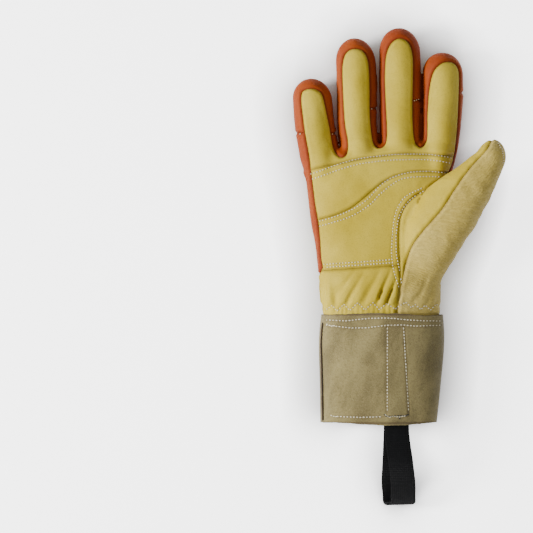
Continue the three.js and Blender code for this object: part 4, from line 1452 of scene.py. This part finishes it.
def label_layer(name, length, width, low, high, seed):
    """A woven layer sewn under the cuff, which follows its curve and has slightly soft corners."""
    turn = Matrix.Rotation(math.radians(LABEL["tilt"]), 4, "Z")
    shift = Matrix.Translation((LABEL["x"], LABEL["y"], 0))

    def place(u, v):
        x = (u - 0.5) * length
        y = (v - 0.5) * width
        corner = LABEL["corner"] * (abs(2 * u - 1) * abs(2 * v - 1)) ** LABEL["corner_power"]
        x -= math.copysign(corner, x)
        y -= math.copysign(corner, y)
        ripple = 0.08 * noise.noise(Vector((x * 0.2, y * 0.2, seed)))
        p = shift @ turn @ Vector((x, y, high + ripple - 0.08))
        p.z += LABEL["follow"] * (on_cuff(p.x, p.y, False).z - CUFF_FLOOR)
        return p

    layer = thickened(placed_grid(name, 60, 24, place, wraps=False), high - low)
    weave_laid(layer, lambda vert: (vert.co.x, vert.co.y))
    return layer


def loop_path():
    """The webbing's run: out of the cuff, down to the fold and back, with its sideways drift."""
    front, back = [], []
    (front_x, front_shift), (back_x, back_shift) = LOOP_DRIFT["front"], LOOP_DRIFT["back"]
    turn, turn_from, turn_to = LOOP_DRIFT["fold"]
    for y, z, gap in LOOP_LINE:
        share = step_up(-y, LOOP_DRIFT["from"], LOOP_DRIFT["to"])
        apart = gap + LOOP_GAP
        front.append((front_x + front_shift * share, y, z + apart))
        back.append((back_x + back_shift * share + turn * step_up(-y, turn_from, turn_to), y, z - apart))
    return smooth_line(front + [LOOP_FOLD] + back[::-1], 14)


def pull_loop_piece(sizes):
    """The black webbing along its run, with a slight bow across it."""
    line = loop_path()
    run = Curve(np.column_stack([np.linspace(0, 1, len(line)), line]))
    length = np.linalg.norm(np.diff(line, axis=0), axis=1).sum()
    columns, rows = LOOP_GRID

    def place(u, v):
        centre = Vector(run(v))
        y = centre.y
        w = (u - 0.5) * sizes.web_width
        bow = 0.35 * (1 - (2 * u - 1) ** 2)
        front = 1 if v < 0.5 else -1
        lean = 0.05 * step_up(-y, 150, 190) * front
        edge = 0.1 * noise.noise(Vector((w * 0.1, y * 0.25, front)))
        return Vector((centre.x + w + edge, y + w * 0.03 * step_up(-y, 185, 200),
                       centre.z + bow * front + w * lean))

    def weave(vert):
        row, column = divmod(vert.index, columns + 1)
        return column / columns * sizes.web_width, length * row / rows

    strap = placed_grid("pull_loop", columns, rows, place, wraps=False)
    weave_laid(strap, weave)
    return thickened(strap, sizes.web_thick, 0.0)


def number(name, about, default, **more):
    """A number that the sidebar shows."""
    return bpy.props.FloatProperty(name=name, description=about, default=default, **more)


class GloveSizes(bpy.types.PropertyGroup):
    """Sizes of the glove's leather, stitches and webbing, in millimetres."""

    wall: number("Wall", "Leather and lining", 2.0, min=0.5)
    gap: number("Gap", "Between neighbouring panels", 0.06, min=0.01)
    skin_step: number("Skin step", "Edge length of the leather's mesh", 0.85, min=0.4)
    skin_smoothing: bpy.props.IntProperty(name="Smoothing", description="Smoothing passes over the skin",
                                          default=9, min=0)
    seam_depth: number("Seam depth", "How deep a turned seam lies", 0.95)
    lap_height: number("Lap height", "Rise of a lapped edge", 0.8)
    row_depth: number("Row depth", "How deep a stitched row lies", 0.32)
    gather_depth: number("Gather depth", "Height of the gathers", 2.1)
    gather_pitch: number("Gather pitch", "Distance between folds", 9.4, min=1)
    puff_height: number("Puff height", "Swelling beside a stitched seam", 0.6)
    stitch_pitch: number("Stitch pitch", "From stitch to stitch", 2.35, min=0.5)
    stitch_length: number("Stitch length", "Length of one stitch", 1.35)
    thread: number("Thread", "Thickness of the thread", 0.92)
    cuff_wall: number("Cuff wall", "Thickness of the suede", 2.0)
    strip_lift: number("Strip lift", "Rise of the cuff's lapped strip", 0.35)
    web_width: number("Webbing width", "Width of the pull loop", 18.6)
    web_thick: number("Webbing thickness", "Thickness of the pull loop", 1.5)


class GloveStage(bpy.types.PropertyGroup):
    """The surface, light and camera around the glove."""

    floor_glow: number("Floor glow", "How brightly the surface shines under the glove", 3.6)
    # floor_shade sets the painted shadow: ambient occlusion darkens the surface's glow near the glove
    floor_shade: number("Floor shade", "How dark the surface is close to the glove", 3.5)
    key_power: number("Key light", "Power in watts", 70.0, unit="POWER")
    fill_power: number("Fill light", "Power in watts", 6.5, unit="POWER")
    sky: number("Sky", "Strength of the light all round", 0.38)
    frame_width: number("View width", "Width that the camera takes in", 0.4051, unit="LENGTH")
    lens: number("Lens", "Focal length in mm", 400.0)


class GLOVE_OT_palm_panels(bpy.types.Operator):
    """Builds the four yellow panels of the palm side"""

    bl_idname = "glove.palm_panels"
    bl_label = "Palm panels"

    def execute(self, context):
        sizes = context.scene.glove_sizes
        half = sizes.gap / 2
        rest = leather_regions(sizes)["palm"]
        for seam, node in ((UPPER_SEAM, "finger_palm_panel"), (CURVED_SEAM, "upper_palm_panel"),
                           (LOWER_SEAM, "palm_patch")):
            piece = carved(rest, beyond(seam, half), "INTERSECT", "piece")
            rest = carved(rest, beyond(seam, -half), "DIFFERENCE", "rest")
            leather_panel(piece, node, "yellow", "grain_leather", sizes)
        leather_panel(rest, "palm_heel_panel", "yellow", "grain_leather", sizes)
        return {"FINISHED"}


class GLOVE_OT_back_panels(bpy.types.Operator):
    """Builds the back of the hand and the lens-shaped insert over its knuckles"""

    bl_idname = "glove.back_panels"
    bl_label = "Back panels"

    def execute(self, context):
        sizes = context.scene.glove_sizes
        back = leather_regions(sizes)["back"]
        for side, operation, node in ((1, "DIFFERENCE", "back_panel"),
                                      (-1, "INTERSECT", "knuckle_insert")):
            lens = prism(grown(lens_outline(), side * sizes.gap / 2))
            leather_panel(carved(back, lens, operation, node), node, "pebbled", "grain_leather", sizes)
        return {"FINISHED"}


class GLOVE_OT_thumb_panels(bpy.types.Operator):
    """Builds the thumb's smooth inner, grained outer and orange back panel"""

    bl_idname = "glove.thumb_panels"
    bl_label = "Thumb panels"

    def execute(self, context):
        sizes = context.scene.glove_sizes
        half = sizes.gap / 2
        thumb = leather_regions(sizes)["thumb"]

        def back_zone(grow):
            heights = height_side(THUMB_BACK_EDGE, "xz", False, grow)
            return carved(prism(grown(THUMB_BACK, grow)), heights, "INTERSECT", "thumb_back_zone")

        front = carved(thumb, back_zone(half), "DIFFERENCE", "front")
        for source, tool, operation, node, material, slot in (
            (thumb, back_zone(-half), "INTERSECT", "back", "orange", "orange_leather"),
            (front, thumb_side(RIDGE_SEAM, -half), "DIFFERENCE", "inner", "yellow", "grain_leather"),
            (front, thumb_side(RIDGE_SEAM, half), "INTERSECT", "outer", "grained", "grain_leather"),
        ):
            piece = carved(source, tool, operation, node)
            leather_panel(piece, f"thumb_{node}_panel", material, slot, sizes)
        return {"FINISHED"}


class GLOVE_OT_orange_strips(bpy.types.Operator):
    """Builds the six orange strips round the fingers and down the hand's sides"""

    bl_idname = "glove.orange_strips"
    bl_label = "Orange strips"

    def execute(self, context):
        sizes = context.scene.glove_sizes
        band = leather_regions(sizes)["band"]
        for node, outline in STRIP_ZONES.items():
            piece = carved(band, prism(grown(outline, -sizes.gap / 2)), "INTERSECT", node)
            leather_panel(piece, node, "orange", "orange_leather", sizes)
        return {"FINISHED"}


class GLOVE_OT_cuff(bpy.types.Operator):
    """Builds the suede cuff with its lapped strip and raw edges"""

    bl_idname = "glove.cuff"
    bl_label = "Cuff"

    def execute(self, context):
        sizes = context.scene.glove_sizes
        tube = placed_grid("cuff", *CUFF_GRID, cuff_point)
        SHARED["cuff_tree"] = BVHTree.FromObject(tube, context.evaluated_depsgraph_get())
        rows, sides = plan_tree(CUFF_STITCH_ROWS), plan_tree(STRIP_SIDES)
        for vert in tube.data.vertices:
            if vert.co.z > CUFF_SIDE:
                vert.co.z -= ROW_DENT[0] * fade(rows.find(in_plan(vert.co))[2], ROW_DENT[1])

        def raw_and_shade(co):
            """How dark the suede is: at its ends, with painted shade along its stitches and painted
            shadow beside its strip.
            """
            value = RAW_END[0] * fade(min(abs(co.y - y) for y in RAW_ENDS), RAW_END[1])
            if co.z > CUFF_SIDE:
                for tree, (share, reach) in ((rows, SUEDE_ROW_SHADE), (sides, STRIP_SHADOW)):
                    value += share * fade(tree.find(in_plan(co))[2], reach)
            return value

        strip = strip_piece(sizes)
        thickened(tube, sizes.cuff_wall)
        store(tube, "raw_and_shade", raw_and_shade)
        store(strip, "raw_and_shade", raw_and_shade)
        edge = edge_binding()
        store(edge, "raw_and_shade", lambda co: 0.95)
        for obj in (tube, strip, edge):
            keep_skin(obj)
        hand_over(tube, "suede", "suede", "cuff", "cuff_suede")
        hand_over(strip, "suede", "suede")
        hand_over(edge, "suede", "suede")
        return {"FINISHED"}


class GLOVE_OT_webbing(bpy.types.Operator):
    """Builds the pull loop and the two layers of the bare label"""

    bl_idname = "glove.webbing"
    bl_label = "Webbing and label"

    def execute(self, context):
        sizes = context.scene.glove_sizes
        for obj, node, material, slot in (
            (pull_loop_piece(sizes), "pull_loop", "black_web", "webbing"),
            (label_layer("label_band", *LABEL["band"], 1.0), "label_band", "label_web", "webbing"),
            (label_layer("label_patch", *LABEL["patch"], 2.0), "label_patch", "patch", "label_cloth"),
        ):
            hand_over(obj, material, slot, node, node + "_woven")
        return {"FINISHED"}


class GLOVE_OT_stitches(bpy.types.Operator):
    """Lays every stitched row onto the leather and the suede"""

    bl_idname = "glove.stitches"
    bl_label = "Stitches"

    def execute(self, context):
        sizes = context.scene.glove_sizes
        tree = BVHTree.FromPolygons(*SHARED["skins"])
        leather_stitch = (sizes.stitch_pitch, sizes.stitch_length)
        groups = (
            ("palm_stitches", PALM_ROWS, True, leather_stitch),
            ("cross_stitches", CROSS_ROWS, True, CROSS_STITCH),
            ("cuff_stitches", CUFF_STITCH_ROWS, True, CUFF_STITCH),
            ("tack_stitches", TACK_ROWS, True, TACK_STITCH),
            ("cuff_back_stitches", CUFF_STITCH_ROWS[:1], False, CUFF_STITCH),
            ("back_stitches", BACK_ROWS + THUMB_BACK_ROWS, False, leather_stitch),
        )
        holes = Beads()
        for name, rows, from_above, stitch in groups:
            beads = Beads()
            for place, normal, along in stitched(beads, tree, rows, from_above, sizes.thread, *stitch):
                holes.add(place - normal * HOLE["sunk"], along, normal, *HOLE["size"])
            hand_over(beads.object(name), "cream")
        hand_over(holes.object("needle_holes"), "hole")
        tack = Beads()
        stitched(tack, tree, BAR_TACK_ROWS, True, sizes.thread, *BAR_TACK_STITCH)
        hand_over(tack.object("bar_tack"), "dark")
        return {"FINISHED"}


class GLOVE_OT_stage(bpy.types.Operator):
    """Sets out the surface, the lights and the camera"""

    bl_idname = "glove.stage"
    bl_label = "Stage"

    def execute(self, context):
        stage = context.scene.glove_stage
        self.surface(stage)
        for name, place, size, power in (
            ("key", (-1.65, 0.0, 0.95), 0.6, stage.key_power),
            ("fill", (0.8, -1.2, 1.4), 1.2, stage.fill_power),
        ):
            light = bpy.data.lights.new(name, "AREA")
            light.shape = "DISK"
            light.size = size
            light.energy = power
            lamp = bpy.data.objects.new(name, light)
            context.scene.collection.objects.link(lamp)
            lamp.location = place
            lamp.rotation_euler = (-Vector(place)).to_track_quat("-Z", "Y").to_euler()
        world = bpy.data.worlds.new("studio")
        world.use_nodes = True
        sky = world.node_tree.nodes["Background"]
        sky.inputs["Color"].default_value = WHITE
        sky.inputs["Strength"].default_value = stage.sky
        context.scene.world = world
        camera = bpy.data.cameras.new("camera")
        camera.lens = stage.lens
        camera.sensor_width = SENSOR
        camera.clip_end = 20
        view = bpy.data.objects.new("camera", camera)
        context.scene.collection.objects.link(view)
        x, y, z = VIEW_CENTRE
        view.location = (x, y, z + stage.frame_width * stage.lens / SENSOR)
        context.scene.camera = view
        return {"FINISHED"}

    def surface(self, stage):
        """A pale surface that shines a little, with a painted shadow that darkens it close to the glove.
        """
        bm = bmesh.new()
        bmesh.ops.create_grid(bm, x_segments=4, y_segments=4, size=FLOOR_REACH)
        floor = new_object("surface", bm, smooth=False)
        s = Shader("surface")
        tone = s.blended(s.noise(300, 2, 0.5).between(0.3, 0.7, 0, 0.02), FLOOR, FLOOR_SPECK)
        open_sky = s.node("ShaderNodeAmbientOcclusion", "AO", {"samples": 12}, Distance=0.035)
        # Painted shadow: the glow fades where ambient occlusion finds the glove close by
        glow = s.blended(open_sky ** stage.floor_shade, BLACK, tone)
        floor.data.materials.append(s.done(Base_Color=tone, Roughness=0.9, Emission_Color=glow,
                                           Emission_Strength=stage.floor_glow))
        floor.visible_diffuse = False
        return floor


class GLOVE_PT_panel(bpy.types.Panel):
    """Buttons and sizes for the glove in the 3D view's sidebar"""

    bl_idname = "GLOVE_PT_panel"
    bl_label = "Leather glove"
    bl_space_type = "VIEW_3D"
    bl_region_type = "UI"
    bl_category = "Glove"

    def draw(self, context):
        scene = context.scene
        for group, owner in ((GloveSizes, scene.glove_sizes), (GloveStage, scene.glove_stage)):
            for name in group.__annotations__:
                self.layout.prop(owner, name)
        for operator in OPERATORS:
            self.layout.operator(operator.bl_idname)


OPERATORS = (
    GLOVE_OT_palm_panels, GLOVE_OT_back_panels, GLOVE_OT_thumb_panels, GLOVE_OT_orange_strips,
    GLOVE_OT_cuff, GLOVE_OT_webbing, GLOVE_OT_stitches, GLOVE_OT_stage,
)
CLASSES = (GloveSizes, GloveStage) + OPERATORS + (GLOVE_PT_panel,)


def register():
    for cls in CLASSES:
        bpy.utils.register_class(cls)
    bpy.types.Scene.glove_sizes = bpy.props.PointerProperty(type=GloveSizes)
    bpy.types.Scene.glove_stage = bpy.props.PointerProperty(type=GloveStage)


def unregister():
    del bpy.types.Scene.glove_stage
    del bpy.types.Scene.glove_sizes
    for cls in reversed(CLASSES):
        bpy.utils.unregister_class(cls)


def scraps_removed():
    """Takes away the solids that the panels were cut from."""
    for obj in list(bpy.data.objects):
        if obj.type == "MESH" and obj.name not in frame["nodes"] and obj.parent is None \
                and obj.name != "surface":
            bpy.data.objects.remove(obj)


def main():
    """Builds every piece."""
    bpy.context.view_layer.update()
    register()
    bpy.ops.glove.palm_panels()
    bpy.ops.glove.back_panels()
    bpy.ops.glove.thumb_panels()
    bpy.ops.glove.orange_strips()
    bpy.ops.glove.cuff()
    bpy.ops.glove.webbing()
    bpy.ops.glove.stitches()
    scraps_removed()
    bpy.ops.glove.stage()
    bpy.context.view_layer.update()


if __name__ == "__main__":
    main()
